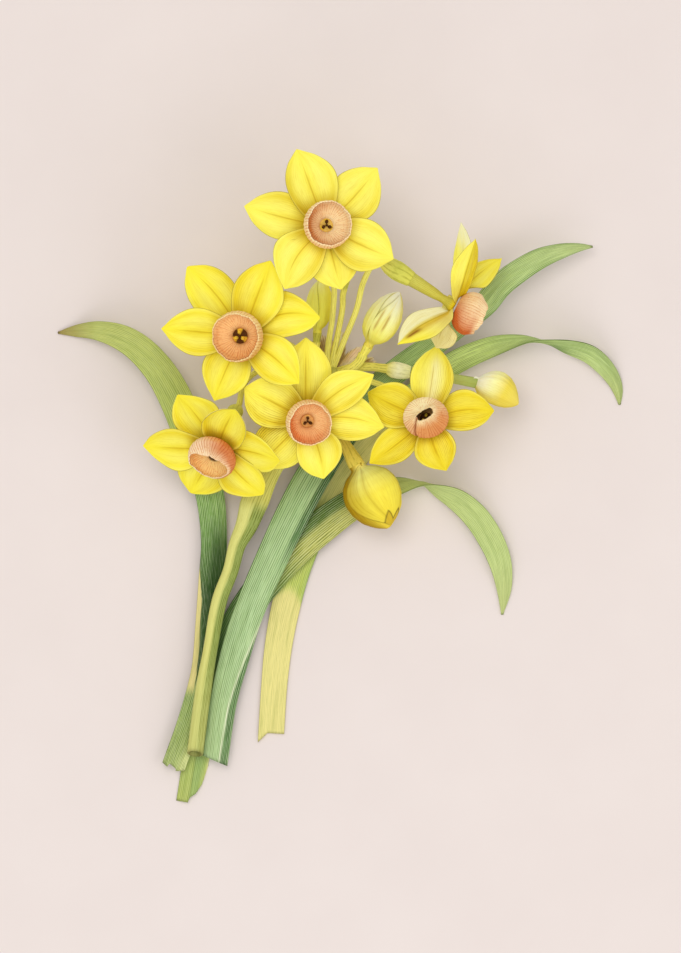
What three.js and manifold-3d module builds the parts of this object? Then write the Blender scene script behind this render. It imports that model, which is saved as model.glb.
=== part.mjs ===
// A cut bunch of Chinese sacred lily, laid on its back on a flat surface.
// One flower stem carries six open blooms and five buds, with four strap leaves.
// Millimetres. +X right, +Y towards the tips of the leaves, +Z up from the surface.
// The origin is on the surface, near the middle of the bunch.

import * as THREE from 'three';
import { mergeVertices } from 'three/addons/utils/BufferGeometryUtils.js';
import Module from 'manifold-3d';

const wasm = await Module();
wasm.setup();

// Driving sizes

const FLOWER_ACROSS = 42;
const PETAL_HALF_WIDTH = 7;
const PETAL_THICKNESS = 0.7;
const PETAL_ROOT_RADIUS = 1.8;
const PETAL_FULLNESS = 0.4;
const FRONT_WHORL_HEIGHT = -0.3;
const BACK_WHORL_HEIGHT = -1.1;
const PETAL_TWIST_END = 0.45;
const HUB_RADIUS = 3.1;
const TUBE_RADIUS = 1.6;
const TUBE_LENGTH = 12;
const OVARY_LENGTH = 6.5;
const OVARY_RADIUS = 2.3;
const PEDICEL_RADIUS = 0.8;
const CUP_RADIUS = FLOWER_ACROSS * 0.15;
const CUP_DEPTH = 7.2;
const CUP_WALL = 0.75;
const THROAT_RADIUS = 2.6;
const ANTHER_LENGTH = 1.6;
const ANTHER_RADIUS = 0.55;
const LEAF_THICKNESS = 0.9;
const STEM_HALF_HEIGHT = 1.7;
const BORE_DEPTH = 6;
const CUT_SLANT = 0.8;
const SEAT_GAP = 0.3;
const CENTRE_SHIFT = [0.2, 0.25, 0];
const MERGE_TOLERANCE = 1e-4;
const SIMPLIFY = 0.02;
const SCRAP_VOLUME = 0.5;

// Mesh detail

const PETAL_ROWS = [0, 0.24, 0.46, 0.66, 0.85, 1];
const PETAL_COLUMNS = [-1, -0.55, 0, 0.55, 1];
const LEAF_COLUMNS = [-1, -0.55, 0, 0.55, 1];
const LEAF_STEP = 6;
const STEM_SIDES = 12;
const PEDICEL_SIDES = 5;
const OVARY_SIDES = 7;
const CUP_SIDES = 16;
const BUD_SIDES = 12;

// Colours

const GREEN = 0x6f9f63;
const DARK_GREEN = 0x3f7a4a;
const PALE_GREEN = 0xc9cf7d;
const STALK_GREEN = 0xb3b85a;
const YELLOW = 0xf5e23c;
const BUD_YELLOW = 0xf0da4a;
const ORANGE = 0xe29a63;
const ANTHER_YELLOW = 0xd9b52e;
const PAPER_BROWN = 0x8d6b50;

const bunch = new THREE.Group();

// Solids from grids and from geometry

function solidFrom(positions, triangles) {
  const mesh = new wasm.Mesh({
    numProp: 3,
    vertProperties: new Float32Array(positions),
    triVerts: new Uint32Array(triangles),
  });
  mesh.merge();
  return new wasm.Manifold(mesh);
}

function signedVolume(positions, triangles) {
  const a = new THREE.Vector3();
  const b = new THREE.Vector3();
  const c = new THREE.Vector3();
  let sum = 0;
  for (let i = 0; i < triangles.length; i += 3) {
    a.fromArray(positions, triangles[i] * 3);
    b.fromArray(positions, triangles[i + 1] * 3);
    c.fromArray(positions, triangles[i + 2] * 3);
    sum += a.dot(b.cross(c));
  }
  return sum;
}

function outwardSolid(positions, triangles) {
  if (signedVolume(positions, triangles) < 0) {
    for (let i = 0; i < triangles.length; i += 3) {
      const kept = triangles[i];
      triangles[i] = triangles[i + 1];
      triangles[i + 1] = kept;
    }
  }
  return solidFrom(positions, triangles);
}

function solidOf(geometry) {
  const bare = geometry.clone();
  bare.deleteAttribute('normal');
  bare.deleteAttribute('uv');
  const merged = mergeVertices(bare, MERGE_TOLERANCE);
  const positions = Array.from(merged.attributes.position.array);
  const triangles = [];
  const index = merged.index.array;
  for (let i = 0; i < index.length; i += 3) {
    const corners = [index[i], index[i + 1], index[i + 2]];
    if (new Set(corners).size === 3) triangles.push(...corners);
  }
  return outwardSolid(positions, triangles);
}

// A closed blade: an upper grid, a lower grid and the strip that joins their edges.
function bladeSolid(upper, lower) {
  const rows = upper.length;
  const columns = upper[0].length;
  const count = rows * columns;
  const positions = [];
  for (const grid of [upper, lower]) {
    for (const row of grid) {
      for (const point of row) positions.push(point.x, point.y, point.z);
    }
  }
  const triangles = [];
  const at = (i, j) => i * columns + j;
  for (let i = 0; i < rows - 1; i += 1) {
    for (let j = 0; j < columns - 1; j += 1) {
      const a = at(i, j);
      const b = at(i + 1, j);
      const c = at(i + 1, j + 1);
      const d = at(i, j + 1);
      triangles.push(a, b, c, a, c, d);
      triangles.push(a + count, c + count, b + count, a + count, d + count, c + count);
    }
  }
  const rim = [];
  for (let j = 0; j < columns; j += 1) rim.push(at(0, j));
  for (let i = 1; i < rows; i += 1) rim.push(at(i, columns - 1));
  for (let j = columns - 2; j >= 0; j -= 1) rim.push(at(rows - 1, j));
  for (let i = rows - 2; i > 0; i -= 1) rim.push(at(i, 0));
  for (let k = 0; k < rim.length; k += 1) {
    const a = rim[k];
    const b = rim[(k + 1) % rim.length];
    triangles.push(a, b, b + count, a, b + count, a + count);
  }
  return outwardSolid(positions, triangles);
}

// The grid below another one, set back along each point's own normal.
function gridBelow(upper, thickness) {
  const last = upper.length - 1;
  const edge = upper[0].length - 1;
  return upper.map((row, i) => row.map((point, j) => {
    const along = upper[Math.min(i + 1, last)][j].clone().sub(upper[Math.max(i - 1, 0)][j]);
    const across = row[Math.min(j + 1, edge)].clone().sub(row[Math.max(j - 1, 0)]);
    const normal = along.cross(across).normalize();
    return point.clone().addScaledVector(normal, thickness);
  }));
}

// A closed form through rings of points, with a flat fan at each end.
function loftSolid(rings) {
  const sides = rings[0].length;
  const positions = [];
  for (const ring of rings) {
    for (const point of ring) positions.push(point.x, point.y, point.z);
  }
  const triangles = [];
  for (let i = 0; i < rings.length - 1; i += 1) {
    for (let j = 0; j < sides; j += 1) {
      const a = i * sides + j;
      const b = i * sides + (j + 1) % sides;
      triangles.push(a, b, b + sides, a, b + sides, a + sides);
    }
  }
  for (const i of [0, rings.length - 1]) {
    const centre = rings[i].reduce((sum, p) => sum.add(p), new THREE.Vector3());
    centre.divideScalar(sides);
    const hub = positions.length / 3;
    positions.push(centre.x, centre.y, centre.z);
    for (let j = 0; j < sides; j += 1) {
      const a = i * sides + j;
      const b = i * sides + (j + 1) % sides;
      if (i === 0) triangles.push(b, a, hub);
      else triangles.push(a, b, hub);
    }
  }
  return outwardSolid(positions, triangles);
}

// One body from several that meet: sealed hollows are filled and tiny scraps dropped.
function join(solids) {
  const shells = wasm.Manifold.union(solids).simplify(SIMPLIFY).decompose();
  const bodies = shells.filter((shell) => shell.volume() > 0);
  bodies.sort((a, b) => b.volume() - a.volume());
  if (bodies.length > 1 && bodies[1].volume() > SCRAP_VOLUME) {
    throw new Error(`a loose piece of ${bodies[1].volume().toFixed(1)} cubic millimetres`);
  }
  return bodies[0];
}

function addNode(name, solid, colour, roughness) {
  const mesh = solid.getMesh();
  const geometry = new THREE.BufferGeometry();
  const positions = new THREE.BufferAttribute(new Float32Array(mesh.vertProperties), 3);
  geometry.setAttribute('position', positions);
  geometry.setIndex(new THREE.BufferAttribute(new Uint32Array(mesh.triVerts), 1));
  geometry.computeVertexNormals();
  const material = new THREE.MeshStandardMaterial({ color: colour, roughness, metalness: 0 });
  const node = new THREE.Mesh(geometry, material);
  node.name = name;
  bunch.add(node);
}

// Directions

const vector = (p) => new THREE.Vector3(p[0], p[1], p[2]);
const radians = THREE.MathUtils.degToRad;

// A flower's own axes: out of its throat, and two across it.
function flowerAxes(axis) {
  const out = vector(axis).normalize();
  const right = new THREE.Vector3(1, 0, 0);
  right.addScaledVector(out, -right.dot(out)).normalize();
  const up = out.clone().cross(right);
  return { out, right, up };
}

// Turns a form made round +Y at the origin so that it stands at a point, along an axis.
function stand(geometry, point, axis) {
  const turn = new THREE.Quaternion();
  turn.setFromUnitVectors(new THREE.Vector3(0, 1, 0), axis);
  geometry.applyQuaternion(turn);
  geometry.translate(point.x, point.y, point.z);
  return geometry;
}

function lathe(profile, sides) {
  return new THREE.LatheGeometry(profile.map((p) => new THREE.Vector2(p[0], p[1])), sides);
}

function tubeAlong(points, radius, sides, steps) {
  const outline = new THREE.Shape();
  for (let k = 0; k < sides; k += 1) {
    const angle = (k / sides) * 2 * Math.PI;
    const x = radius * Math.cos(angle);
    const y = radius * Math.sin(angle);
    if (k === 0) outline.moveTo(x, y);
    else outline.lineTo(x, y);
  }
  outline.closePath();
  const curve = new THREE.CatmullRomCurve3(points, false, 'centripetal');
  return new THREE.ExtrudeGeometry(outline, { steps, extrudePath: curve, curveSegments: 1 });
}

// Petals

// Share of the full half width at u, from the root (0) to the tip (1). A fuller petal has a blunter tip.
function petalOutline(u, full) {
  const root = 0.34 * (1 - u) ** 2;
  const bell = Math.sin(Math.PI * u ** (1.1 + 0.25 * full));
  const blade = bell ** (0.85 - 0.3 * full) * (1 - 0.18 * u ** 4);
  return Math.max(root + blade, 0.05);
}

// Distance out and forward along an arc that starts at one slope and ends at another.
function arcPoint(startAngle, turn, length, u) {
  if (Math.abs(turn) < 1e-6) {
    return [length * u * Math.cos(startAngle), length * u * Math.sin(startAngle)];
  }
  const rate = turn / length;
  const angle = startAngle + turn * u;
  const out = (Math.sin(angle) - Math.sin(startAngle)) / rate;
  const forward = (Math.cos(startAngle) - Math.cos(angle)) / rate;
  return [out, forward];
}

function petalPoint(bloom, petal, u, v) {
  const { out, right, up } = flowerAxes(bloom.axis);
  const angle = radians(petal.angle);
  const radial = right.clone().multiplyScalar(Math.cos(angle));
  radial.addScaledVector(up, Math.sin(angle));
  const sideways = out.clone().cross(radial);
  const slope = radians(petal.lift) + radians(petal.curl) * u;
  const [away, forward] = arcPoint(radians(petal.lift), radians(petal.curl), petal.reach, u);
  const half = PETAL_HALF_WIDTH * (petal.wide ?? 1) * petalOutline(u, petal.full ?? PETAL_FULLNESS);
  const whorl = petal.front ? FRONT_WHORL_HEIGHT : BACK_WHORL_HEIGHT;
  const cupping = (petal.cup ?? (petal.front ? 0.7 : -0.5)) * v * v * Math.sin(Math.PI * u);
  const fold = (petal.fold ?? 0) * Math.min(1, 2.5 * u) * Math.abs(v) * half;
  const twistEnd = petal.twist ?? PETAL_TWIST_END;
  const roll = radians(petal.roll ?? 0) * THREE.MathUtils.smoothstep(u, 0, twistEnd);
  const facing = radial.clone().multiplyScalar(-Math.sin(slope)).addScaledVector(out, Math.cos(slope));
  const across = half * v * Math.cos(Math.atan(petal.fold ?? 0));
  const raised = cupping + fold;
  const point = vector(bloom.throat);
  point.addScaledVector(radial, PETAL_ROOT_RADIUS + away);
  point.addScaledVector(out, forward + whorl);
  const bow = (petal.bow ?? 0) * Math.sin(Math.PI * u);
  point.addScaledVector(sideways, bow + across * Math.cos(roll) - raised * Math.sin(roll));
  point.addScaledVector(facing, across * Math.sin(roll) + raised * Math.cos(roll));
  return point;
}

function petalSolid(bloom, petal) {
  const upper = PETAL_ROWS.map((u) => PETAL_COLUMNS.map((v) => petalPoint(bloom, petal, u, v)));
  return bladeSolid(upper, gridBelow(upper, -PETAL_THICKNESS));
}

// The perianth tube, from the ovary up to the hub that the petals grow from.
function tubeSolid(bloom) {
  const { out } = flowerAxes(bloom.tubeAxis ?? bloom.axis);
  const length = bloom.tube ?? TUBE_LENGTH;
  const hub = bloom.hub ?? HUB_RADIUS;
  const middle = bloom.tubeRadius ?? TUBE_RADIUS;
  const wide = middle * (1 + (bloom.taper ?? 0) / 2);
  const slim = middle * (1 - (bloom.taper ?? 0) / 2);
  const profile = [
    [0, -length],
    [wide * 0.95, -length],
    [(wide + slim) * 0.49, -length * 0.5],
    [slim, -4.5],
    [slim * 1.15, -2.8],
    [hub, -1.5],
    [hub, -0.55],
    [0, -0.35],
  ];
  return solidOf(stand(lathe(profile, STEM_SIDES), vector(bloom.throat), out));
}

// Presses a form together along one direction, about a point.
function squash(geometry, point, direction, share) {
  const places = geometry.attributes.position;
  const place = new THREE.Vector3();
  for (let i = 0; i < places.count; i += 1) {
    place.fromBufferAttribute(places, i).sub(point);
    place.addScaledVector(direction, place.dot(direction) * (share - 1)).add(point);
    places.setXYZ(i, place.x, place.y, place.z);
  }
  return geometry;
}

// The cup: a barrel-shaped bowl with a slightly drawn-in rim and a throat in its floor.
function cupSolid(bloom) {
  const { out, up } = flowerAxes(bloom.axis);
  const r = CUP_RADIUS * (bloom.cupWide ?? 1);
  const depth = CUP_DEPTH * (bloom.cupDeep ?? 1);
  const mouth = bloom.mouth ?? 0.94;
  const floor = SEAT_GAP;
  const profile = [
    [0, floor],
    [r * 0.5, floor],
    [r * 0.84, depth * 0.2],
    [r * 0.98, depth * 0.45],
    [r, depth * 0.7],
    [r * mouth, depth],
    [r * mouth - CUP_WALL * 0.8, depth * 0.95],
    [r * (0.5 + 0.5 * mouth) - CUP_WALL, depth * 0.7],
    [THROAT_RADIUS + 0.5, depth * 0.28],
    [THROAT_RADIUS, depth * 0.17],
    [0, depth * 0.15],
  ];
  const cup = stand(lathe(profile, CUP_SIDES), vector(bloom.throat), out);
  return solidOf(squash(cup, vector(bloom.throat), up, bloom.squash ?? 1));
}

// Three anthers and the style, standing on one small disc in the throat.
function stamenSolid(bloom) {
  const { out, right, up } = flowerAxes(bloom.axis);
  const floor = CUP_DEPTH * 0.17 + SEAT_GAP;
  const base = vector(bloom.throat).addScaledVector(out, floor + 0.35);
  const disc = new THREE.CylinderGeometry(THROAT_RADIUS * 0.8, THROAT_RADIUS * 0.7, 0.7, 9);
  const pieces = [solidOf(stand(disc, base, out))];
  for (let k = 0; k < 3; k += 1) {
    const angle = radians(90 + 120 * k);
    const anther = new THREE.SphereGeometry(ANTHER_RADIUS, 5, 3);
    anther.scale(1, ANTHER_LENGTH, 1);
    const place = base.clone().addScaledVector(out, 0.8);
    place.addScaledVector(right, Math.cos(angle) * THROAT_RADIUS * 0.42);
    place.addScaledVector(up, Math.sin(angle) * THROAT_RADIUS * 0.42);
    pieces.push(solidOf(stand(anther, place, out)));
  }
  const style = new THREE.CylinderGeometry(0.35, 0.35, 2.2, 5);
  pieces.push(solidOf(stand(style, base.clone().addScaledVector(out, 1), out)));
  return join(pieces);
}

const front = (angle, reach, more = {}) => ({ angle, reach, lift: 6, curl: -6, front: true, ...more });
const back = (angle, reach, more = {}) => ({ angle, reach, lift: 4, curl: -5, front: false, ...more });

const BLOOMS = [
  {
    name: 'top',
    throat: [-4.2, 68.2, 44],
    axis: [0.17, 0.06, 1],
    cupWide: 1.05,
    petals: [
      back(48, 20, { wide: 0.96, bow: -0.6 }),
      front(111, 20.5, { wide: 1.07 }),
      back(167, 21, { wide: 0.94, bow: 0.4 }),
      front(-123, 19, { wide: 0.96, bow: -1.9 }),
      back(-75, 16, { lift: 2 }),
      front(-25, 19, { wide: 1, bow: -0.4 }),
    ],
    stalk: [[-3.2, 29, 11.5], [-3.6, 34, 13.5], [-2.2, 44, 18], [-1.8, 53, 21.8], [-3.5, 62, 23.5]],
  },
  {
    name: 'left',
    throat: [-26.9, 38.5, 37],
    axis: [-0.26, -0.08, 1],
    cupWide: 1.12,
    petals: [
      front(68, 20.5, { wide: 1.04 }),
      back(13.5, 20.7, { wide: 0.87, bow: 3.2, full: 0.7 }),
      front(-38, 19, { wide: 0.88, bow: 1 }),
      back(-114, 18, { wide: 0.94, bow: -0.5, full: 0.15 }),
      front(176, 21, { wide: 0.9, full: 0.2 }),
      back(130, 22.5, { wide: 1.02, bow: -1.3, full: 0.7 }),
    ],
    stalk: [[-3, 28.6, 11.5], [-6.5, 31.5, 13], [-16, 37.5, 13.5]],
  },
  {
    name: 'centre',
    throat: [-9.4, 15.6, 29],
    axis: [0.17, -0.2, 1],
    petals: [
      front(33, 20.5, { wide: 0.75, bow: 1.5 }),
      back(90, 21),
      front(151, 17.6, { lift: 4, curl: -8, full: 0.9 }),
      back(-133, 17, { lift: -9, curl: -6 }),
      front(-74, 15.5, { wide: 0.88, bow: 0.9, full: 0.5 }),
      back(-7, 20, { lift: 8, wide: 0.88, bow: 1.6 }),
    ],
    stalk: [[-3, 28.3, 11], [-7.5, 27.2, 9], [-12.5, 23.5, 7]],
  },
  {
    name: 'low',
    throat: [-34.2, 7.3, 23],
    axis: [-0.3, -0.62, 0.72],
    cupWide: 1.07,
    cupDeep: 0.8,
    mouth: 0.88,
    petals: [
      front(70, 18.5, { lift: 5, curl: 12, wide: 1.08, bow: 0.5, full: 0.8 }),
      back(130, 17, { lift: 0, curl: -14, bow: -1.2, full: 0.6 }),
      front(-171, 19.5, { bow: 0.2 }),
      back(-113, 18, { full: 0.9 }),
      front(-42, 16.5, { full: 1, wide: 0.97, bow: -0.9 }),
      back(11, 18.6, { lift: 15, curl: -3, bow: 0.8 }),
    ],
    stalk: [[-3, 28.3, 11], [-10, 30.5, 10.3], [-20, 30.5, 9.5], [-26.5, 26, 8]],
  },
  {
    name: 'right',
    throat: [23.6, 15.7, 23],
    axis: [-0.04, 0.1, 1],
    tube: 10,
    mouth: 0.45,
    squash: 0.9,
    petals: [
      front(82, 18.7, { wide: 0.82 }),
      back(7.5, 17, { wide: 0.79, full: 0.6, bow: 1.3 }),
      front(-69, 13.5, { wide: 0.8, full: 0.35, bow: -0.7 }),
      back(-142.5, 18, { wide: 0.68, bow: 0.4, fold: 0.3 }),
      front(155, 16, { wide: 0.88, bow: 0.3 }),
      back(118, 6.5, { wide: 0.5 }),
    ],
    stalk: [[-2.2, 28.6, 11], [4, 27.4, 10.6], [12, 25, 9.4], [19.5, 20.5, 6.6], [23.4, 16.5, 5]],
  },
  {
    name: 'side',
    throat: [31.6, 46.5, 30],
    axis: [0.9, -0.43, 0],
    tubeAxis: [0.85, -0.527, 0],
    tube: 14,
    tubeRadius: 1.55,
    taper: 0.5,
    hub: 2.1,
    ovary: { length: 9.3, radius: 2.75, form: 'pear' },
    mouth: 0.75,
    cupWide: 0.97,
    cupDeep: 1.05,
    petals: [
      back(-12, 22, { lift: -4, curl: -33, wide: 0.42, roll: 50 }),
      front(38, 22, { lift: -5.5, curl: -4, wide: 0.55, fold: -0.6, roll: -50, twist: 0.1, full: 0.1 }),
      back(-33, 20.6, { lift: 12.5, curl: 14, wide: 0.62, roll: 70, full: 0.1 }),
      front(150, 19.7, { lift: -35.2, curl: 12, wide: 0.68, cup: -1, roll: -75, twist: 0.1, full: 0.1 }),
      back(-150, 12.5, { lift: 8, curl: -6, wide: 0.76, roll: -60 }),
      back(-95, 8, { lift: -14, wide: 0.4 }),
    ],
    stalk: [[-2.4, 29, 11], [0.6, 36.5, 15], [4.4, 46, 20], [6, 52.6, 24.6], [8.2, 57.3, 28.4]],
  },
];

// Buds: a closed flower with six ribs, on its tube

const BUDS = [
  {
    name: 'small',
    base: [7.7, 36.2, 15],
    tip: [16.2, 50.8, 18],
    radius: 4.5,
    flat: 1,
    full: 0.8,
    neck: 1.5,
    stalk: [[-3, 26.6, 10.6], [0.6, 28.4, 11.9]],
    stalkRadius: 1.25,
    ovary: { length: 3.6, radius: 1.43, form: 'cone' },
  },
  {
    name: 'upright',
    base: [-6.4, 40, 13.5],
    tip: [-5.1, 54.6, 15.5],
    radius: 3.5,
    flat: 0.9,
    full: 0.7,
    neck: 1.3,
    stalk: [[-3, 28.3, 11], [-4.6, 33, 12]],
    stalkRadius: 1.1,
    ovary: { length: 3.6, radius: 1.24, form: 'cone' },
  },
  {
    name: 'hidden',
    base: [1.6, 54.6, 20.5],
    tip: [3.6, 65, 25],
    radius: 2.6,
    flat: 1,
    neck: 1.2,
    stalk: [[-3, 28.6, 11.5], [-1.9, 34, 13.5], [-0.6, 40, 15.8], [0.6, 47, 18.2]],
    stalkRadius: PEDICEL_RADIUS,
    ovary: { length: 3.6, radius: 1.14, form: 'cone' },
  },
  {
    name: 'pale',
    base: [36.9, 26.4, 13],
    tip: [49.1, 20, 14],
    radius: 4.6,
    flat: 0.85,
    full: 0.8,
    bend: 1.1,
    neck: 1.5,
    stalk: [[-3, 28.3, 11], [4, 30.2, 11], [9, 30.3, 12]],
    stalkRadius: 1.2,
    ovary: { length: 6.5, radius: 2.3, form: 'taper' },
    tubeRoute: [[19.6, 28.8, 12.6], [29, 27.4, 12.8]],
  },
  {
    name: 'nodding',
    base: [4.6, 3, 12.5],
    tip: [13.2, -14.2, 11.5],
    radius: 7.7,
    flat: 0.85,
    full: 0.75,
    neck: 2.4,
    stalk: [[-3, 28.3, 10.5], [-0.9, 21, 11], [0.1, 13.6, 12]],
    stalkRadius: 1.1,
    ovary: { length: 7.9, radius: 2.28, form: 'cone', axis: [3.9, -7, 0] },
  },
];

// Share of the full radius along a bud, from its neck (0) to its tip (1).
const BUD_PROFILE = [
  [0, 0], [0.05, 0.12], [0.12, 0.5], [0.22, 0.79], [0.34, 0.95], [0.46, 1],
  [0.62, 0.93], [0.78, 0.7], [0.91, 0.35], [1, 0.03],
];

function budOutline(u) {
  const k = Math.max(1, BUD_PROFILE.findIndex((point) => point[0] >= u));
  const [before, after] = [BUD_PROFILE[k - 1], BUD_PROFILE[k]];
  return THREE.MathUtils.mapLinear(u, before[0], after[0], before[1], after[1]);
}

function budSolid(bud) {
  const base = vector(bud.base);
  const along = vector(bud.tip).sub(base);
  const length = along.length();
  along.normalize();
  const across = new THREE.Vector3(0, 0, 1).cross(along).normalize();
  const lift = along.clone().cross(across);
  const rings = [0, 0.06, 0.14, 0.24, 0.38, 0.54, 0.7, 0.86, 1].map((u) => {
    const neck = bud.neck * 0.95 * Math.max(0, 1 - u / 0.3);
    const radius = Math.max(bud.radius * budOutline(u) ** (bud.full ?? 1), neck);
    const centre = base.clone().addScaledVector(along, u * length);
    centre.addScaledVector(across, (bud.bend ?? 0) * Math.sin(Math.PI * u));
    return Array.from({ length: BUD_SIDES }, (_, k) => {
      const angle = (k / BUD_SIDES) * 2 * Math.PI;
      const rib = 1 + 0.07 * Math.cos(6 * angle) * Math.sin(Math.PI * u);
      const point = centre.clone();
      point.addScaledVector(across, radius * rib * Math.cos(angle));
      point.addScaledVector(lift, radius * rib * bud.flat * Math.sin(angle));
      return point;
    });
  });
  const pieces = [loftSolid(rings)];
  if (bud.tubeRoute) {
    const route = bud.tubeRoute.map(vector);
    route.push(base.clone().addScaledVector(along, 1.5));
    pieces.push(solidOf(tubeAlong(route, bud.neck, 8, 6)));
  }
  return join(pieces);
}

// The flower stem: a flattened two-edged stalk, the thin flower stalks and the ovaries

const STEM_ROUTE = [
  { at: [-3, 28.3, 11], half: 2.6 },
  { at: [-5.8, 22.2, 9.4], half: 2.4 },
  { at: [-9, 16, 8.4], half: 2.4 },
  { at: [-14, 9, 7.8], half: 2.5 },
  { at: [-19.3, 1.8, 7.4], half: 2.8 },
  { at: [-23.5, -6.3, 7.1], half: 3.9 },
  { at: [-26, -13.5, 6.9], half: 3 },
  { at: [-28.6, -19, 6.8], half: 2.3 },
  { at: [-30.4, -26, 6.7], half: 2.1 },
  { at: [-33.5, -34.3, 6.6], half: 2.1 },
  { at: [-36.1, -48.2, 6.5], half: 1.9 },
  { at: [-38, -59.3, 6.4], half: 2.2 },
  { at: [-40.4, -77.6, 6.4], half: 2.2 },
];

// A slanting ring has its upper side set back.
function stemRing(centre, ahead, half, halfHeight, sides, slant = 0) {
  const side = new THREE.Vector3(0, 0, 1).cross(ahead).normalize();
  const lift = ahead.clone().cross(side).normalize();
  return Array.from({ length: sides }, (_, k) => {
    const angle = (k / sides) * 2 * Math.PI;
    const edge = Math.sign(Math.cos(angle)) * Math.abs(Math.cos(angle)) ** 0.9;
    const point = centre.clone().addScaledVector(side, half * edge);
    point.addScaledVector(ahead, -slant * (1 + Math.sin(angle)));
    return point.addScaledVector(lift, halfHeight * Math.sin(angle));
  });
}

function stemRings() {
  const points = STEM_ROUTE.map((station) => vector(station.at));
  return STEM_ROUTE.map((station, i) => {
    const ahead = points[Math.min(i + 1, points.length - 1)].clone();
    ahead.sub(points[Math.max(i - 1, 0)]).normalize();
    const slant = i === points.length - 1 ? CUT_SLANT : 0;
    return stemRing(points[i], ahead, station.half, STEM_HALF_HEIGHT, STEM_SIDES, slant);
  });
}

function stemBore() {
  const last = STEM_ROUTE[STEM_ROUTE.length - 1];
  const end = vector(last.at);
  const ahead = end.clone().sub(vector(STEM_ROUTE[STEM_ROUTE.length - 2].at)).normalize();
  const inner = end.clone().addScaledVector(ahead, -BORE_DEPTH);
  const outer = end.clone().addScaledVector(ahead, 1);
  const rings = [inner, outer].map((c) => stemRing(c, ahead, last.half - 0.8, 0.9, STEM_SIDES));
  return loftSolid(rings);
}

// Shares of an ovary's radius and length, from its foot to the flower.
const OVARY_FORMS = {
  cone: [[0.62, 0], [0.7, 0.3], [0.86, 0.65], [1, 1]],
  taper: [[0.5, 0], [1, 0.35], [0.95, 0.6], [0.72, 1]],
  pear: [[0.5, 0], [0.8, 0.2], [1, 0.45], [0.96, 0.7], [0.76, 1]],
};

function ovaryGeometry(ovary) {
  const profile = OVARY_FORMS[ovary.form].map(([r, t]) => [ovary.radius * r, ovary.length * t]);
  return lathe([[0, -0.4], ...profile, [0, ovary.length]], OVARY_SIDES);
}

function stalkSolids(route, radius, ovaryBase, axis, ovary) {
  const points = route.map(vector);
  points.push(ovaryBase.clone().addScaledVector(axis, -1.6));
  points.push(ovaryBase.clone().addScaledVector(axis, 1));
  const stalk = solidOf(tubeAlong(points, radius, PEDICEL_SIDES, points.length + 4));
  return [stalk, solidOf(stand(ovaryGeometry(ovary), ovaryBase, axis))];
}

function bloomStalk(bloom) {
  const { out } = flowerAxes(bloom.tubeAxis ?? bloom.axis);
  const ovary = bloom.ovary ?? { length: OVARY_LENGTH, radius: OVARY_RADIUS, form: 'taper' };
  const behind = (bloom.tube ?? TUBE_LENGTH) + SEAT_GAP + ovary.length;
  const ovaryBase = vector(bloom.throat).addScaledVector(out, -behind);
  return stalkSolids(bloom.stalk, PEDICEL_RADIUS, ovaryBase, out, ovary);
}

function budStalk(bud) {
  const [start, beyond] = bud.tubeRoute ?? [bud.base, bud.tip];
  const axis = vector(bud.ovary.axis ?? vector(beyond).sub(vector(start)).toArray()).normalize();
  const ovaryBase = vector(start).addScaledVector(axis, -bud.ovary.length - SEAT_GAP);
  return stalkSolids(bud.stalk, bud.stalkRadius, ovaryBase, axis, bud.ovary);
}

function flowerStem() {
  const knob = new THREE.SphereGeometry(3, 8, 6);
  knob.translate(...STEM_ROUTE[0].at);
  const stalk = loftSolid(stemRings()).subtract(stemBore());
  const pieces = [stalk, solidOf(knob)];
  for (const bloom of BLOOMS) pieces.push(...bloomStalk(bloom));
  for (const bud of BUDS) pieces.push(...budStalk(bud));
  return join(pieces);
}

// The spathe: a dry papery sheath, open like a fan under the flower stalks

const SPATHE_BASE = [-2.4, 27.5, 7.5];
const SPATHE_THICKNESS = 0.6;

// Its torn edge: direction in degrees, distance from its foot.
const SPATHE_EDGE = [
  [12, 10.8], [22, 12.6], [33, 9.6], [43, 11.6], [50, 10.9], [60, 7.6], [69, 11.4],
  [78, 13], [90, 9.8], [102, 11.9], [112, 10.4], [125, 8.6],
];

function spatheSolid() {
  const base = vector(SPATHE_BASE);
  const rows = [0.12, 0.3, 0.5, 0.7, 0.86, 1];
  const last = SPATHE_EDGE.length - 1;
  const upper = rows.map((u) => SPATHE_EDGE.map(([degrees, edge], k) => {
    const angle = radians(degrees);
    const torn = (edge - 7) * THREE.MathUtils.smoothstep(u, 0.1, 0.9);
    const reach = u * (7 + torn);
    const sides = (2 * k / last - 1) ** 2;
    const x = base.x + reach * Math.cos(angle);
    const y = base.y + reach * Math.sin(angle);
    const z = base.z + (1.2 * u + 1.0 * sides) * u;
    return new THREE.Vector3(x, y, z);
  }));
  return bladeSolid(upper, gridBelow(upper, -SPATHE_THICKNESS));
}

// Leaves: a strap along a centreline, with a blunt ridge and a roll about its own length

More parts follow.
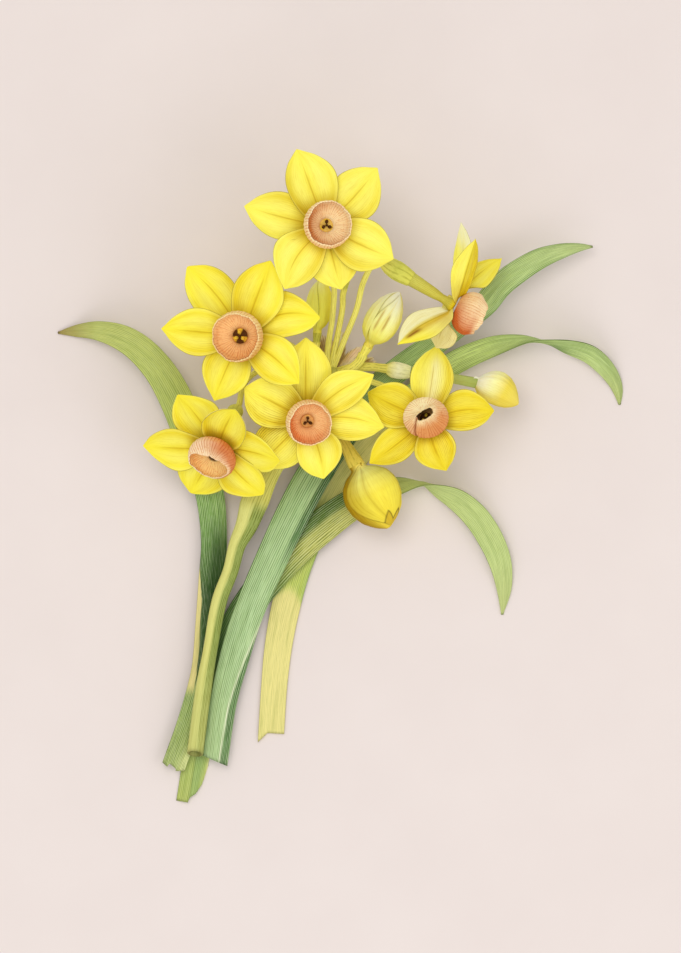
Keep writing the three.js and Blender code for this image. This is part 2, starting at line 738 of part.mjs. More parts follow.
// Each station: place, half width, roll in degrees.
const LEAF_LEFT = {
  name: 'leaf_left',
  colour: DARK_GREEN,
  ridge: 0.6,
  stations: [
    [-46.3, -80.4, 3.4, 3.3, 0],
    [-41.8, -67.6, 3.5, 3.3, 0],
    [-38.2, -53.8, 3.4, 3.2, 0],
    [-36.7, -39.9, 3.2, 3.5, 0],
    [-35.8, -28.8, 3, 3.6, 0],
    [-35.1, -17.6, 3, 3.6, 0],
    [-36.4, -4.3, 3.6, 4, 0],
    [-39.9, 6, 4.6, 4.4, 0],
    [-43.2, 15.7, 6, 4.7, 0],
    [-46.3, 22.9, 7.2, 4.6, 0],
    [-50.1, 29.3, 8, 4.3, 0],
    [-55.4, 35.1, 8, 4, 0],
    [-60.7, 38.5, 6.8, 3.6, 0],
    [-67.4, 40.4, 4.5, 2.7, 0],
    [-73.5, 40.4, 1.2, 1.7, 0],
    [-78.5, 39.9, 0.4, 0.3, 0],
  ],
};

const LEAF_FRONT = {
  name: 'leaf_front',
  colour: GREEN,
  ridge: 0.8,
  stations: [
    [-34.6, -77.9, 3.6, 3.5, 0],
    [-32.4, -62.4, 3.9, 3.7, 0],
    [-28.8, -48.2, 4.4, 4.2, 0],
    [-25.4, -37.6, 5, 4.2, 0],
    [-18.6, -21.8, 5.6, 4.5, 0],
    [-11.3, -6.6, 5.4, 4.8, 0],
    [-5.1, 4.2, 5.2, 4.8, 0],
    [1.8, 13.9, 5.2, 4.4, 0],
    [8.8, 23.2, 5.4, 3.7, 0],
    [17.1, 30.4, 6, 3.5, 0],
    [25.4, 36.3, 7, 3.4, 0],
    [33.8, 42.9, 8, 3.4, 0],
    [39.9, 47.6, 9, 3.4, 0],
    [44.3, 52.9, 9.6, 3.4, 0],
    [49.3, 56.8, 9.6, 3.3, 0],
    [55.4, 60.4, 9, 2.9, 0],
    [61.5, 62.5, 7.6, 2.1, 0],
    [66.5, 63.5, 6, 1.1, 0],
    [69.9, 63.7, 4.8, 0.3, 0],
  ],
};

const LEAF_PALE = {
  name: 'leaf_pale',
  colour: PALE_GREEN,
  ridge: -0.4,
  stations: [
    [-19.3, -72.4, 0.35, 3.6, 0],
    [-18.5, -59.3, 0.35, 3.6, 0],
    [-17.4, -48.2, 0.35, 3.8, 0],
    [-15.4, -37.1, 0.4, 4, 0],
    [-12.4, -26, 0.8, 4, 0],
    [-8.5, -16.3, 1.1, 4, 0],
    [-4.3, -7.9, 1.1, 3.9, 0],
    [1.3, 1.8, 1.2, 3.7, 0],
    [8.2, 10.1, 1.4, 3.6, 0],
    [19.3, 21.3, 2, 3.4, 0],
    [27.6, 28.8, 3, 3.4, 0],
    [33.8, 32.6, 4.2, 3.3, 5],
    [41.5, 35.7, 5.4, 3.1, 20],
    [47.6, 37.2, 6.2, 3, 50],
    [52.6, 37.8, 6.6, 2.9, 75],
    [57.9, 37.1, 6.4, 2.9, 100],
    [62.9, 35.8, 5.6, 2.9, 130],
    [68.8, 33.9, 4.2, 2.8, 155],
    [72.6, 31, 3, 2.6, 170],
    [75.7, 27.1, 1.2, 2.1, 180],
    [77.1, 23.5, 0.4, 1.4, 180],
    [77.5, 19.9, 0.4, 0.3, 180],
  ],
};

const LEAF_LOW = {
  name: 'leaf_low',
  colour: GREEN,
  ridge: 0.6,
  stations: [
    [-41.8, -89, 0.45, 3.6, 0],
    [-39.6, -76, 0.45, 3.7, 0],
    [-36.3, -62.1, 0.6, 3.9, 0],
    [-32.1, -48.2, 1.4, 4.2, 0],
    [-26.5, -37.1, 2, 4.4, 0],
    [-19.6, -27.9, 2.8, 4.6, 0],
    [-12.4, -20.1, 3.4, 4.7, 0],
    [-5.1, -13.8, 3.6, 4.7, 0],
    [2.1, -8.5, 3.4, 4.4, 0],
    [9.6, -4.6, 3, 3.6, 8],
    [16.5, -2.4, 3.3, 3.1, 40],
    [22.6, -2.1, 3.7, 3, 85],
    [27.6, -4, 3.7, 3, 130],
    [32.4, -6.5, 3.6, 3.3, 160],
    [37.4, -11, 3.2, 3.6, 175],
    [41.5, -17.1, 2.6, 3.6, 180],
    [44.3, -23.8, 1.9, 3.2, 180],
    [45.4, -31, 0.6, 2.2, 180],
    [44.9, -38.4, 0.4, 0.3, 180],
  ],
};

const LEAVES = [LEAF_LEFT, LEAF_FRONT, LEAF_PALE, LEAF_LOW];

function leafUpperGrid(leaf) {
  const centre = new THREE.CatmullRomCurve3(leaf.stations.map(vector), false, 'centripetal');
  const steps = Math.round(centre.getLength() / LEAF_STEP);
  const spans = leaf.stations.length - 1;
  return Array.from({ length: steps + 1 }, (_, i) => {
    const t = centre.getUtoTmapping(i / steps);
    const place = centre.getPoint(t);
    const ahead = centre.getTangent(t);
    const k = Math.min(Math.floor(t * spans), spans - 1);
    const share = t * spans - k;
    const [before, after] = [leaf.stations[k], leaf.stations[k + 1]];
    const half = THREE.MathUtils.lerp(before[3], after[3], share);
    const roll = radians(THREE.MathUtils.lerp(before[4], after[4], share));
    const flatSide = ahead.clone().cross(new THREE.Vector3(0, 0, 1)).normalize();
    const flatUp = flatSide.clone().cross(ahead);
    const side = flatSide.clone().multiplyScalar(Math.cos(roll));
    side.addScaledVector(flatUp, Math.sin(roll));
    const up = side.clone().cross(ahead);
    return LEAF_COLUMNS.map((v) => {
      const ridge = leaf.ridge * (0.5 - Math.abs(v)) * Math.min(half / 3, 1);
      const point = place.clone().addScaledVector(side, half * v);
      return point.addScaledVector(up, ridge + LEAF_THICKNESS / 2);
    });
  });
}

// A leaf lies flat where it would sink below the surface.
function leafSolid(leaf) {
  const upper = leafUpperGrid(leaf);
  const lower = gridBelow(upper, LEAF_THICKNESS);
  upper.forEach((row, i) => row.forEach((point, j) => {
    const [under, over] = [point, lower[i][j]].sort((a, b) => a.z - b.z);
    under.z = Math.max(under.z, 0);
    over.z = Math.max(over.z, LEAF_THICKNESS * 0.75);
  }));
  return bladeSolid(upper, lower);
}

// The whole bunch

addNode('flower_stem', flowerStem(), STALK_GREEN, 0.55);
addNode('spathe', spatheSolid(), PAPER_BROWN, 0.9);

for (const leaf of LEAVES) addNode(leaf.name, leafSolid(leaf), leaf.colour, 0.5);

for (const bloom of BLOOMS) {
  const pieces = bloom.petals.map((petal) => petalSolid(bloom, petal));
  pieces.push(tubeSolid(bloom));
  addNode(`bloom_${bloom.name}_petals`, join(pieces), YELLOW, 0.55);
  addNode(`bloom_${bloom.name}_cup`, cupSolid(bloom), ORANGE, 0.6);
  addNode(`bloom_${bloom.name}_stamens`, stamenSolid(bloom), ANTHER_YELLOW, 0.8);
}

for (const bud of BUDS) addNode(`bud_${bud.name}`, budSolid(bud), BUD_YELLOW, 0.55);

bunch.position.set(...CENTRE_SHIFT);

export default bunch;
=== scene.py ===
"""The looks of a cut bunch of Chinese sacred lily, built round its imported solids."""

import math

import bpy
import numpy as np
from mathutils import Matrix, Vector


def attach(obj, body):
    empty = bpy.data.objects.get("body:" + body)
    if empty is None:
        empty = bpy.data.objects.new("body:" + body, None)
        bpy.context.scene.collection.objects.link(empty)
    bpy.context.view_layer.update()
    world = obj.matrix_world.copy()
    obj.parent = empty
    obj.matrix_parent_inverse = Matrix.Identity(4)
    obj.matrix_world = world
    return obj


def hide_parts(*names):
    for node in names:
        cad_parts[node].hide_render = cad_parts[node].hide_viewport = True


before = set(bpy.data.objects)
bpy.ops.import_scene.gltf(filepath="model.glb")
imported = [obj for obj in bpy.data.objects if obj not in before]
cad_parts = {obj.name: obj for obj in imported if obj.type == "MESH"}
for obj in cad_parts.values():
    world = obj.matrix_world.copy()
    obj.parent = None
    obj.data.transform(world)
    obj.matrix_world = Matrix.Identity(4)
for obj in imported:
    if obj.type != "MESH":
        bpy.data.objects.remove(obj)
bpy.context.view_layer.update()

# Driving sizes as in the part's source, in millimetres or as shares of a length

PETAL_HALF_WIDTH = 7
PETAL_ROOT_RADIUS = 1.8
PETAL_FULLNESS = 0.4
FRONT_WHORL_HEIGHT = -0.3
BACK_WHORL_HEIGHT = -1.1
PETAL_TWIST_END = 0.45
HUB_RADIUS = 3.1
TUBE_RADIUS = 1.6
TUBE_LENGTH = 12
OVARY_LENGTH = 6.5
OVARY_RADIUS = 2.3
PEDICEL_RADIUS = 0.8
CUP_RADIUS = 6.3
CUP_DEPTH = 7.2
THROAT_RADIUS = 2.6
LEAF_THICKNESS = 0.9
STEM_HALF_HEIGHT = 1.7
BORE_DEPTH = 6
SEAT_GAP = 0.3
CENTRE_SHIFT = np.array([0.2, 0.25, 0])

# Finer sizes of this script alone, in millimetres, and metres in one millimetre

PETAL_THICKNESS = 0.5
RUFFLE_HEIGHT = 0.28
CUP_WALL = 0.6
LEAF_EDGE = 0.12
FLOOR_GAP = 0.02
MM = 0.001

# Rows along each kind of piece, and columns across or sides round it

PETAL_MESH = 34, 21
TUBE_MESH = 34, 24
CUP_MESH = 72, 144
HEART_SIDES = 24
BUD_MESH = 48, 72
BUD_TUBE_MESH = 30, 20
LAYER_MESH = 90, 81
STEM_MESH = 110, 36
STALK_MESH = 60, 16
OVARY_MESH = 30, 30
SPATHE_MESH = 40, 121
LEAF_MESH = 150, 31

# Camera and stage, in metres, set by the photo's frame of 681 by 953

CAMERA_HEIGHT = 2.206
CAMERA_LENS = 300
SENSOR_WIDTH = 36
VIEW_END = 20
FLOOR_HALF = 4
DAYLIGHT = 0.7

# How finely curves are worked out, and how far their stations are evened out

STEPS_PER_STATION = 24
EVENED_STEPS = 13

rng = np.random.default_rng(7)


def ramp(low, high, x):
    """A smooth step, 0 up to low and 1 from high, or the other way round where low is above high."""
    t = np.clip((x - low) / (high - low), 0, 1)
    return t * t * (3 - 2 * t)


def bell(x, middle, width, power=2):
    """1 at the middle, and nearly 0 from twice the width."""
    return np.exp(-((x - middle) / width) ** power)


def arch(u):
    """0 at both ends of a length and 1 halfway."""
    return np.sin(np.pi * np.clip(u, 0, 1))


def eased(count):
    """Steps from 0 to 1, closer together at both ends."""
    return (1 - np.cos(np.pi * np.linspace(0, 1, count))) / 2


def edged(count):
    """Steps from -1 to 1, closer together at both ends."""
    return np.sin(np.pi / 2 * np.linspace(-1, 1, count))


def full_turn(sides):
    """Angles of one full turn."""
    return np.arange(sides) / sides * 2 * np.pi


def grid(u, v):
    """Both coordinates of every point of a grid."""
    return np.meshgrid(u, v, indexing="ij")


def smoothed(values, times=1):
    """Values evened out between their ends."""
    for _ in range(times):
        values[1:-1] = np.convolve(values, [0.25, 0.5, 0.25], "valid")
    return values


def linear(colour):
    """Linear colour of a tuple of sRGB levels from 0 to 255. An array is linear already."""
    if isinstance(colour, np.ndarray):
        return colour
    c = np.array(colour, float) / 255
    return np.where(c <= 0.04045, c / 12.92, ((c + 0.055) / 1.055) ** 2.4)


def blend(low, high, share):
    """Two colours mixed by a share of any shape."""
    share = np.clip(np.asarray(share, float), 0, 1)[..., None]
    return linear(low) * (1 - share) + linear(high) * share


def unit(p):
    """Vectors scaled to length 1."""
    p = np.asarray(p, float)
    return p / np.maximum(np.linalg.norm(p, axis=-1, keepdims=True), 1e-9)


def lined(tint, strength):
    """A tint with the strength of its drawn lines as its fourth value."""
    strength = np.broadcast_to(np.asarray(strength, float), tint.shape[:-1])
    return np.concatenate([tint, strength[..., None]], -1)


def gradient(stops, t):
    """Colour at t from (place, colour) stops."""
    places, colours = zip(*stops)
    colours = np.array([linear(c) for c in colours])
    return np.stack([np.interp(t, places, colours[:, k]) for k in range(3)], -1)


def placed(name, data, location=(0, 0, 0)):
    """An object of some data in the scene."""
    thing = bpy.data.objects.new(name, data)
    thing.location = location
    bpy.context.scene.collection.objects.link(thing)
    return thing


# Meshes from grids


class Piece:
    """Collects closed shells, with a flow (along, across, number) and a tint at each point."""

    def __init__(self):
        self.points, self.faces, self.flow, self.tint = [], [], [], []
        self.count = 0

    def add(self, points, faces, flow, tint):
        """Adds one closed shell, with its faces turned outward."""
        points = np.asarray(points, float)
        faces = np.asarray(faces, int)
        a, b, c, d = (points[faces[:, k]] for k in range(4))
        if np.einsum("ij,ij->", a, np.cross(b, c)) + np.einsum("ij,ij->", a, np.cross(c, d)) < 0:
            faces = faces[:, ::-1]
        self.points.append(points)
        self.faces.append(faces + self.count)
        self.flow.append(np.broadcast_to(flow, points.shape))
        self.tint.append(np.broadcast_to(tint, (len(points), 4)))
        self.count += len(points)

    def blade(self, upper, lower, flow, tint_up, tint_low):
        """A thin closed sheet whose two sides share their rim."""
        rows, columns = upper.shape[:2]
        top = np.arange(rows * columns).reshape(rows, columns)
        under = top.copy()
        inner = (rows - 2) * (columns - 2)
        under[1:-1, 1:-1] = rows * columns + np.arange(inner).reshape(rows - 2, columns - 2)
        up_quads = np.stack([top[:-1, :-1], top[1:, :-1], top[1:, 1:], top[:-1, 1:]], -1)
        low_quads = np.stack([under[:-1, :-1], under[:-1, 1:], under[1:, 1:], under[1:, :-1]], -1)
        cut = (slice(1, -1), slice(1, -1))
        stack = lambda a, b: np.concatenate([a.reshape(-1, a.shape[-1]), b[cut].reshape(-1, b.shape[-1])])
        faces = np.concatenate([up_quads.reshape(-1, 4), low_quads.reshape(-1, 4)])
        self.add(stack(upper, lower), faces, stack(flow, flow), stack(tint_up, tint_low))

    def loft(self, rings, flow, tint):
        """A closed form through rings, with a fan at each end."""
        rows, sides = rings.shape[:2]
        index = np.arange(rows * sides).reshape(rows, sides)
        after = np.roll(index, -1, axis=1)
        quads = np.stack([index[:-1], index[1:], after[1:], after[:-1]], -1).reshape(-1, 4)
        first, last = rows * sides, rows * sides + 1
        start = [[first, index[0, k], after[0, k], first] for k in range(sides)]
        end = [[last, after[-1, k], index[-1, k], last] for k in range(sides)]
        ends = lambda a: np.concatenate([a.reshape(-1, a.shape[-1]), a[[0]].mean(1), a[[-1]].mean(1)])
        faces = np.concatenate([quads, start, end])
        self.add(ends(rings), faces, ends(flow), ends(tint))

    def tube(self, rings, along, angle, number, tint, strength):
        """A loft with one tint for each ring."""
        tint = lined(np.broadcast_to(tint[:, None], rings.shape), strength)
        self.loft(rings, flow_grid(along, angle / np.pi, number), tint)

    def build(self, name, material, node, slot):
        """Makes the object of all shells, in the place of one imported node."""
        points = (np.concatenate(self.points) + CENTRE_SHIFT) * MM
        faces = [tuple(dict.fromkeys(f)) for f in np.concatenate(self.faces).tolist()]
        mesh = bpy.data.meshes.new(name)
        mesh.from_pydata(points.tolist(), [], faces)
        for name_of, kind, key, values in (("flow", "FLOAT_VECTOR", "vector", self.flow),
                                           ("tint", "FLOAT_COLOR", "color", self.tint)):
            layer = mesh.attributes.new(name_of, kind, "POINT")
            layer.data.foreach_set(key, np.concatenate(values).astype(np.float32).ravel())
        mesh.polygons.foreach_set("use_smooth", [True] * len(mesh.polygons))
        mesh.materials.append(material)
        mesh.update()
        thing = placed(name, mesh)
        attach(thing, "root")
        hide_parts(node)


def grid_normals(points):
    """Unit normals of a grid of points."""
    return unit(np.cross(np.gradient(points, axis=0), np.gradient(points, axis=1)))


def flow_grid(u, v, number):
    """Places along and across a grid, with the number that tells its pattern apart."""
    return np.stack(np.broadcast_arrays(u[:, None], v[None, :], float(number)), -1)


# Curves


def spline(points, samples):
    """Points and directions at equal steps along a centripetal Catmull-Rom curve, and its stations."""
    p = np.asarray(points, float)
    p = np.vstack([2 * p[0] - p[1], p, 2 * p[-1] - p[-2]])
    fine = []
    for k in range(len(p) - 3):
        x0, x1, x2, x3 = p[k:k + 4]
        d0, d1, d2 = (max(np.linalg.norm(b - a), 1e-6) ** 0.5 for a, b in ((x0, x1), (x1, x2), (x2, x3)))
        t1 = ((x1 - x0) / d0 - (x2 - x0) / (d0 + d1) + (x2 - x1) / d1) * d1
        t2 = ((x2 - x1) / d1 - (x3 - x1) / (d1 + d2) + (x3 - x2) / d2) * d1
        s = (np.arange(STEPS_PER_STATION) / STEPS_PER_STATION)[:, None]
        bend = (3 * (x2 - x1) - 2 * t1 - t2) * s ** 2 + (2 * (x1 - x2) + t1 + t2) * s ** 3
        fine.append(x1 + t1 * s + bend)
    fine = np.vstack(fine + [p[-2:-1]])
    reach = np.r_[0, np.cumsum(np.linalg.norm(np.diff(fine, axis=0), axis=1))]
    want = np.linspace(0, reach[-1], samples)
    places = np.stack([np.interp(want, reach, fine[:, k]) for k in range(3)], -1)
    stations = np.interp(want, reach, np.arange(len(fine)) / STEPS_PER_STATION)
    return places, unit(np.gradient(places, axis=0)), stations


def along_stations(values, stations):
    """Values given at whole stations, smoothly between them."""
    fine = np.linspace(0, len(values) - 1, STEPS_PER_STATION * len(values))
    line = np.interp(fine, np.arange(len(values)), values)
    kernel = np.hanning(2 * EVENED_STEPS + 1)
    padded = np.r_[[line[0]] * EVENED_STEPS, line, [line[-1]] * EVENED_STEPS]
    smooth = np.convolve(padded, kernel / kernel.sum(), "valid")
    smooth += (line[-1] - smooth[-1]) * ramp(0.97, 1, fine / fine[-1])
    return np.interp(stations, fine, smooth)


def carried_sides(ahead):
    """Side directions carried along a line without twist."""
    side = unit(np.cross(ahead[0], [0.3, 0.2, 1]))
    sides = [side]
    for direction in ahead[1:]:
        side = unit(side - direction * side.dot(direction))
        sides.append(side)
    sides = np.array(sides)
    return sides, np.cross(ahead, sides)


def tube_rings(places, ahead, radii, sides, ribs, depth):
    """Ribbed rings along a curve, and their angles."""
    side, lift = carried_sides(ahead)
    angle = full_turn(sides)
    around = radii[:, None] * (1 + depth * np.cos(ribs * angle))
    ring = side[:, None] * (around * np.cos(angle))[..., None]
    return places[:, None] + ring + lift[:, None] * (around * np.sin(angle))[..., None], angle


def lathe_rings(origin, out, right, up, radius, height, angle):
    """Rings round an axis, from a radius and a height for each profile point and angle."""
    radius, height = np.broadcast_arrays(radius, height)
    ring = right * (radius * np.cos(angle))[..., None] + up * (radius * np.sin(angle))[..., None]
    return np.asarray(origin, float) + ring + out * height[..., None]


# Materials


class Shader:
    """A material whose colour and relief come from its own nodes."""

    def __init__(self, name, roughness, specular=0.08):
        self.material = bpy.data.materials.new(name)
        self.material.use_nodes = True
        self.tree = self.material.node_tree
        self.surface = self.tree.nodes["Principled BSDF"]
        self.surface.inputs["Roughness"].default_value = roughness
        self.surface.inputs["Specular IOR Level"].default_value = specular

    def node(self, kind, inputs=(), **settings):
        node = self.tree.nodes.new("ShaderNode" + kind)
        for key, value in settings.items():
            setattr(node, key, value)
        for key, value in dict(inputs).items():
            if isinstance(value, bpy.types.NodeSocket):
                self.tree.links.new(value, node.inputs[key])
            else:
                node.inputs[key].default_value = value
        return node

    def math(self, operation, a, b=0.0):
        return self.node("Math", {0: a, 1: b}, operation=operation).outputs[0]

    def times(self, a, b):
        return self.math("MULTIPLY", a, b)

    def flow(self):
        vector = self.node("Attribute", attribute_name="flow").outputs["Vector"]
        parts = self.node("SeparateXYZ", {0: vector})
        return [parts.outputs[k] for k in range(3)]

    def tint(self):
        node = self.node("Attribute", attribute_name="tint")
        return node.outputs["Color"], node.outputs["Alpha"]

    def noise(self, vector, scale=1.0, detail=3.0):
        inputs = {"Vector": vector, "Scale": scale, "Detail": detail, "Roughness": 0.55}
        return self.node("TexNoise", inputs).outputs["Fac"]

    def streaks(self, along, across, number, stretch, width, detail=3.0):
        """Lines that run along the flow."""
        place = {0: self.times(across, width), 1: self.times(along, stretch), 2: self.times(number, 5.3)}
        return self.noise(self.node("CombineXYZ", place).outputs[0], 1.0, detail)

    def span(self, value, low, high, to_low=0.0, to_high=1.0):
        inputs = {"Value": value, "From Min": low, "From Max": high, "To Min": to_low, "To Max": to_high}
        return self.node("MapRange", inputs, interpolation_type="SMOOTHSTEP").outputs[0]

    def mix(self, share, a, b, mode="MIX"):
        """Output of a colour mix; a and b are sockets or linear colours."""
        a, b = (c if isinstance(c, bpy.types.NodeSocket) else (*c, 1) for c in (a, b))
        return self.node("Mix", {0: share, 6: a, 7: b}, data_type="RGBA", blend_type=mode).outputs[2]

    def relief(self, height, strength, distance):
        inputs = {"Height": height, "Strength": strength, "Distance": distance}
        self.tree.links.new(self.node("Bump", inputs).outputs[0], self.surface.inputs["Normal"])

    def finish(self, colour):
        self.tree.links.new(colour, self.surface.inputs["Base Color"])
        return self.material


def living(name, roughness, pitch, dark, soft=0.0, margin=0.0, crease=0.0, speckle=0.0, pale=0.0,
           relief=0.00012):
    """A plant's surface: its tint, with broken drawn lines along its flow and a darker margin."""
    dark = linear(dark)
    s = Shader(name, roughness)
    along, across, number = s.flow()
    tint, strength = s.tint()
    cloud = s.streaks(along, across, number, stretch=1.3, width=3.4)
    drift = s.streaks(along, across, number, stretch=0.9, width=1.6, detail=1.0)
    gaps = s.streaks(along, across, number, stretch=5.0, width=pitch * 1.3, detail=2.0)
    grain = s.streaks(along, across, number, stretch=8.0, width=pitch * 5.0, detail=2.0)
    phase = s.math("ADD", s.times(across, pitch), s.times(drift, 1.6))
    wave = s.times(s.math("PINGPONG", phase, 0.5), 2.0)
    line = s.times(s.times(s.span(wave, 0.5, 0.98), s.span(gaps, 0.3, 0.6)), strength)
    shaded = s.mix(1.0, tint, dark, "MULTIPLY")
    drawn = s.mix(1.0, shaded, dark, "MULTIPLY")
    colour = s.mix(s.span(cloud, 0.45, 0.72, 0.0, 0.3), tint, shaded)
    colour = s.mix(s.span(grain, 0.45, 0.75, 0.0, 0.35), colour, shaded)
    colour = s.mix(s.span(cloud, 0.28, 0.45, 0.3, 0.0), colour, s.mix(0.12, colour, (1.0, 1.0, 0.3)))
    if speckle:
        dots = s.noise(s.node("TexCoord").outputs["Object"], scale=2100.0, detail=1.0)
        colour = s.mix(s.span(dots, 0.56, 0.72, 0.0, speckle), colour, shaded)
    colour = s.mix(line, colour, drawn)
    if pale:
        light = s.times(s.span(wave, 0.4, 0.02), s.span(grain, 0.35, 0.6))
        colour = s.mix(s.times(s.times(light, strength), pale), colour, (0.85, 0.9, 0.62))
    # A darker line down the middle crease: painted shade in the groove.
    if crease:
        near = s.span(s.math("ABSOLUTE", across), 0.0, 0.05, crease, 0.0)
        near = s.times(near, s.span(along, 0.55, 0.9, 1.0, 0.0))
        colour = s.mix(near, colour, drawn)
    if margin:
        rim = s.span(s.math("ABSOLUTE", across), 0.96, 0.995, 0.0, margin)
        colour = s.mix(rim, colour, s.mix(1.0, shaded, (0.42, 0.4, 0.25), "MULTIPLY"))
    if soft:
        s.surface.inputs["Subsurface Weight"].default_value = soft
        s.surface.inputs["Subsurface Radius"].default_value = (0.002, 0.0016, 0.0008)
        s.surface.inputs["Subsurface Scale"].default_value = 1.0
    s.relief(s.math("SUBTRACT", cloud, s.times(line, 0.5)), 0.5, relief)
    return s.finish(colour)


# Roughness, lines in a half width, and the colour that darkens each surface

PETAL_SKIN = living("petal", 0.6, 12.0, (224, 206, 116), soft=0.08, margin=0.75, crease=0.5)
BUD_SKIN = living("bud", 0.55, 10.0, (232, 218, 160), soft=0.1)
LEAF_SKIN = living("leaf", 0.6, 8.5, (154, 176, 118), margin=0.6, pale=0.5)
STALK_SKIN = living("stalk", 0.5, 5.0, (204, 202, 140))
CUP_SKIN = living("cup", 0.65, 24.0, (232, 186, 150), soft=0.08, speckle=0.55)
PAPER_SKIN = living("paper_sheath", 0.85, 16.0, (204, 176, 142), relief=0.0003)
ANTHER_SKIN = living("anther", 0.85, 3.0, (220, 180, 110), speckle=0.4)

# Petal colours: LIGHT_YELLOW also serves for painted highlights, GOLD and OLIVE_GOLD for painted shade.
YELLOW = (255, 240, 62)
LIGHT_YELLOW = (255, 248, 118)
DEEP_YELLOW = (240, 214, 34)
GOLD = (232, 204, 24)
OLIVE_GOLD = (208, 182, 36)
PALE_BACK = (251, 244, 160)
CREAM = (253, 249, 196)
TUBE_COLOURS = [(0, (206, 204, 98)), (0.4, (208, 200, 84)), (0.85, (204, 192, 72)), (0.95, GOLD), (1, YELLOW)]


# Blooms


def flower_axes(axis):
    """The way a flower faces, and its right and its up."""
    out = unit(axis)
    right = unit(np.array([1.0, 0, 0]) - out * out[0])
    return out, right, np.cross(out, right)


def petal_outline(u, full):
    """Share of the full half width, from the root (0) to the tip (1)."""
    root = 0.34 * (1 - u) ** 2
    blade = np.sin(np.pi * np.clip(u, 0, 1) ** (1.1 + 0.25 * full)) ** (0.85 - 0.3 * full)
    blade = blade * (1 - 0.18 * u ** 4)
    return np.maximum(root + blade * (1 - 0.25 * ramp(0.86, 1, u)), 0.012)


def petal_grid(bloom, petal, u, v, wave):
    """Points of a petal: an arc outward from the throat, bent, bowed and rolled about its middle line."""
    out, right, up = flower_axes(bloom["axis"])
    angle = math.radians(petal["angle"])
    radial = right * math.cos(angle) + up * math.sin(angle)
    sideways = np.cross(out, radial)
    lift, turn = math.radians(petal["lift"]), math.radians(petal["curl"])
    slope = lift + turn * u
    if abs(turn) < 1e-6:
        away, forward = petal["reach"] * u * math.cos(lift), petal["reach"] * u * math.sin(lift)
    else:
        rate = turn / petal["reach"]
        away = (np.sin(slope) - math.sin(lift)) / rate
        forward = (math.cos(lift) - np.cos(slope)) / rate
    half = PETAL_HALF_WIDTH * petal.get("wide", 1) * petal_outline(u, petal.get("full", PETAL_FULLNESS))
    front = petal["front"]
    bowl = petal.get("cup", 0.7 if front else -0.5) * arch(u)
    crease = petal.get("fold", 0) * np.minimum(1, 2.5 * u)
    w = np.abs(v)[None, :]
    outward = np.arctan(2 * bowl[:, None] * w / half[:, None] + crease[:, None])
    left, right_curl = petal.get("rims", (0, 0))
    rim = np.where(v < 0, left, right_curl)[None, :]
    outward = outward + np.radians(rim) * ramp(0.45, 0.95, w) * arch(u)[:, None] ** 0.5
    across, raised = np.zeros((len(u), len(v))), np.zeros((len(u), len(v)))
    middle = len(v) // 2
    for side in (1, -1):
        for step in range(1, middle + 1):
            a, b = middle + side * (step - 1), middle + side * step
            stride = half * abs(v[b] - v[a])
            bend = (outward[:, a] + outward[:, b]) / 2
            across[:, b] = across[:, a] + side * stride * np.cos(bend)
            raised[:, b] = raised[:, a] + stride * np.sin(bend)
    raised += wave
    roll = math.radians(petal.get("roll", 0)) * ramp(0, petal.get("twist", PETAL_TWIST_END), u)
    facing = -radial * np.sin(slope)[:, None] + out * np.cos(slope)[:, None]
    whorl = FRONT_WHORL_HEIGHT if front else BACK_WHORL_HEIGHT
    line = np.array(bloom["throat"]) + radial * (PETAL_ROOT_RADIUS + away)[:, None]
    line = line + out * (forward + whorl)[:, None]
    line = line + sideways * (petal.get("bow", 0) * arch(u))[:, None]
    over = across * np.cos(roll)[:, None] - raised * np.sin(roll)[:, None]
    lifted = across * np.sin(roll)[:, None] + raised * np.cos(roll)[:, None]
    return line[:, None] + sideways * over[..., None] + facing[:, None] * lifted[..., None]


def petal_tint(u, v, bloom, petal):
    """Yellow, with two long painted highlights, painted shade in gold at the root, along the middle and along
    one edge, and paler near the rim; drawn lines are stronger on the shaded side and at the root.
    """
    uu, vv = grid(u, v)
    tone = petal.get("tone", bloom.get("tone", 0.0))
    tint = blend(YELLOW, LIGHT_YELLOW if tone < 0 else DEEP_YELLOW, abs(tone))
    # Painted highlights: two long lighter bands either side of the middle.
    painted_highlights = bell(np.abs(vv), 0.42, 0.26) * arch(uu) ** 1.5
    tint = blend(tint, LIGHT_YELLOW, (0.7 - 0.45 * tone) * painted_highlights)
    # Painted shade: gold along the shaded edge and along the middle near the root, and olive gold at the root
    # by the cup.
    side = vv * petal["shade"]
    tint = blend(tint, GOLD, 0.6 * ramp(0.3, 0.95, side) * ramp(1.05, 0.5, uu))
    tint = blend(tint, GOLD, 0.45 * bell(vv, 0, 0.12) * ramp(0.85, 0.35, uu))
    tint = blend(tint, OLIVE_GOLD, 0.9 * ramp(0.40, 0.16, uu))
    tint = blend(tint, LIGHT_YELLOW, 0.5 * ramp(0.82, 0.92, np.abs(vv)))
    drawn = petal.get("lines", bloom["lines"])
    strength = drawn * (0.35 + 0.9 * ramp(-0.2, 0.9, side) + 0.6 * ramp(0.5, 0.2, uu))
    if "paint" in petal:
        tint = petal["paint"](uu, vv, tint)
    return lined(tint, strength)


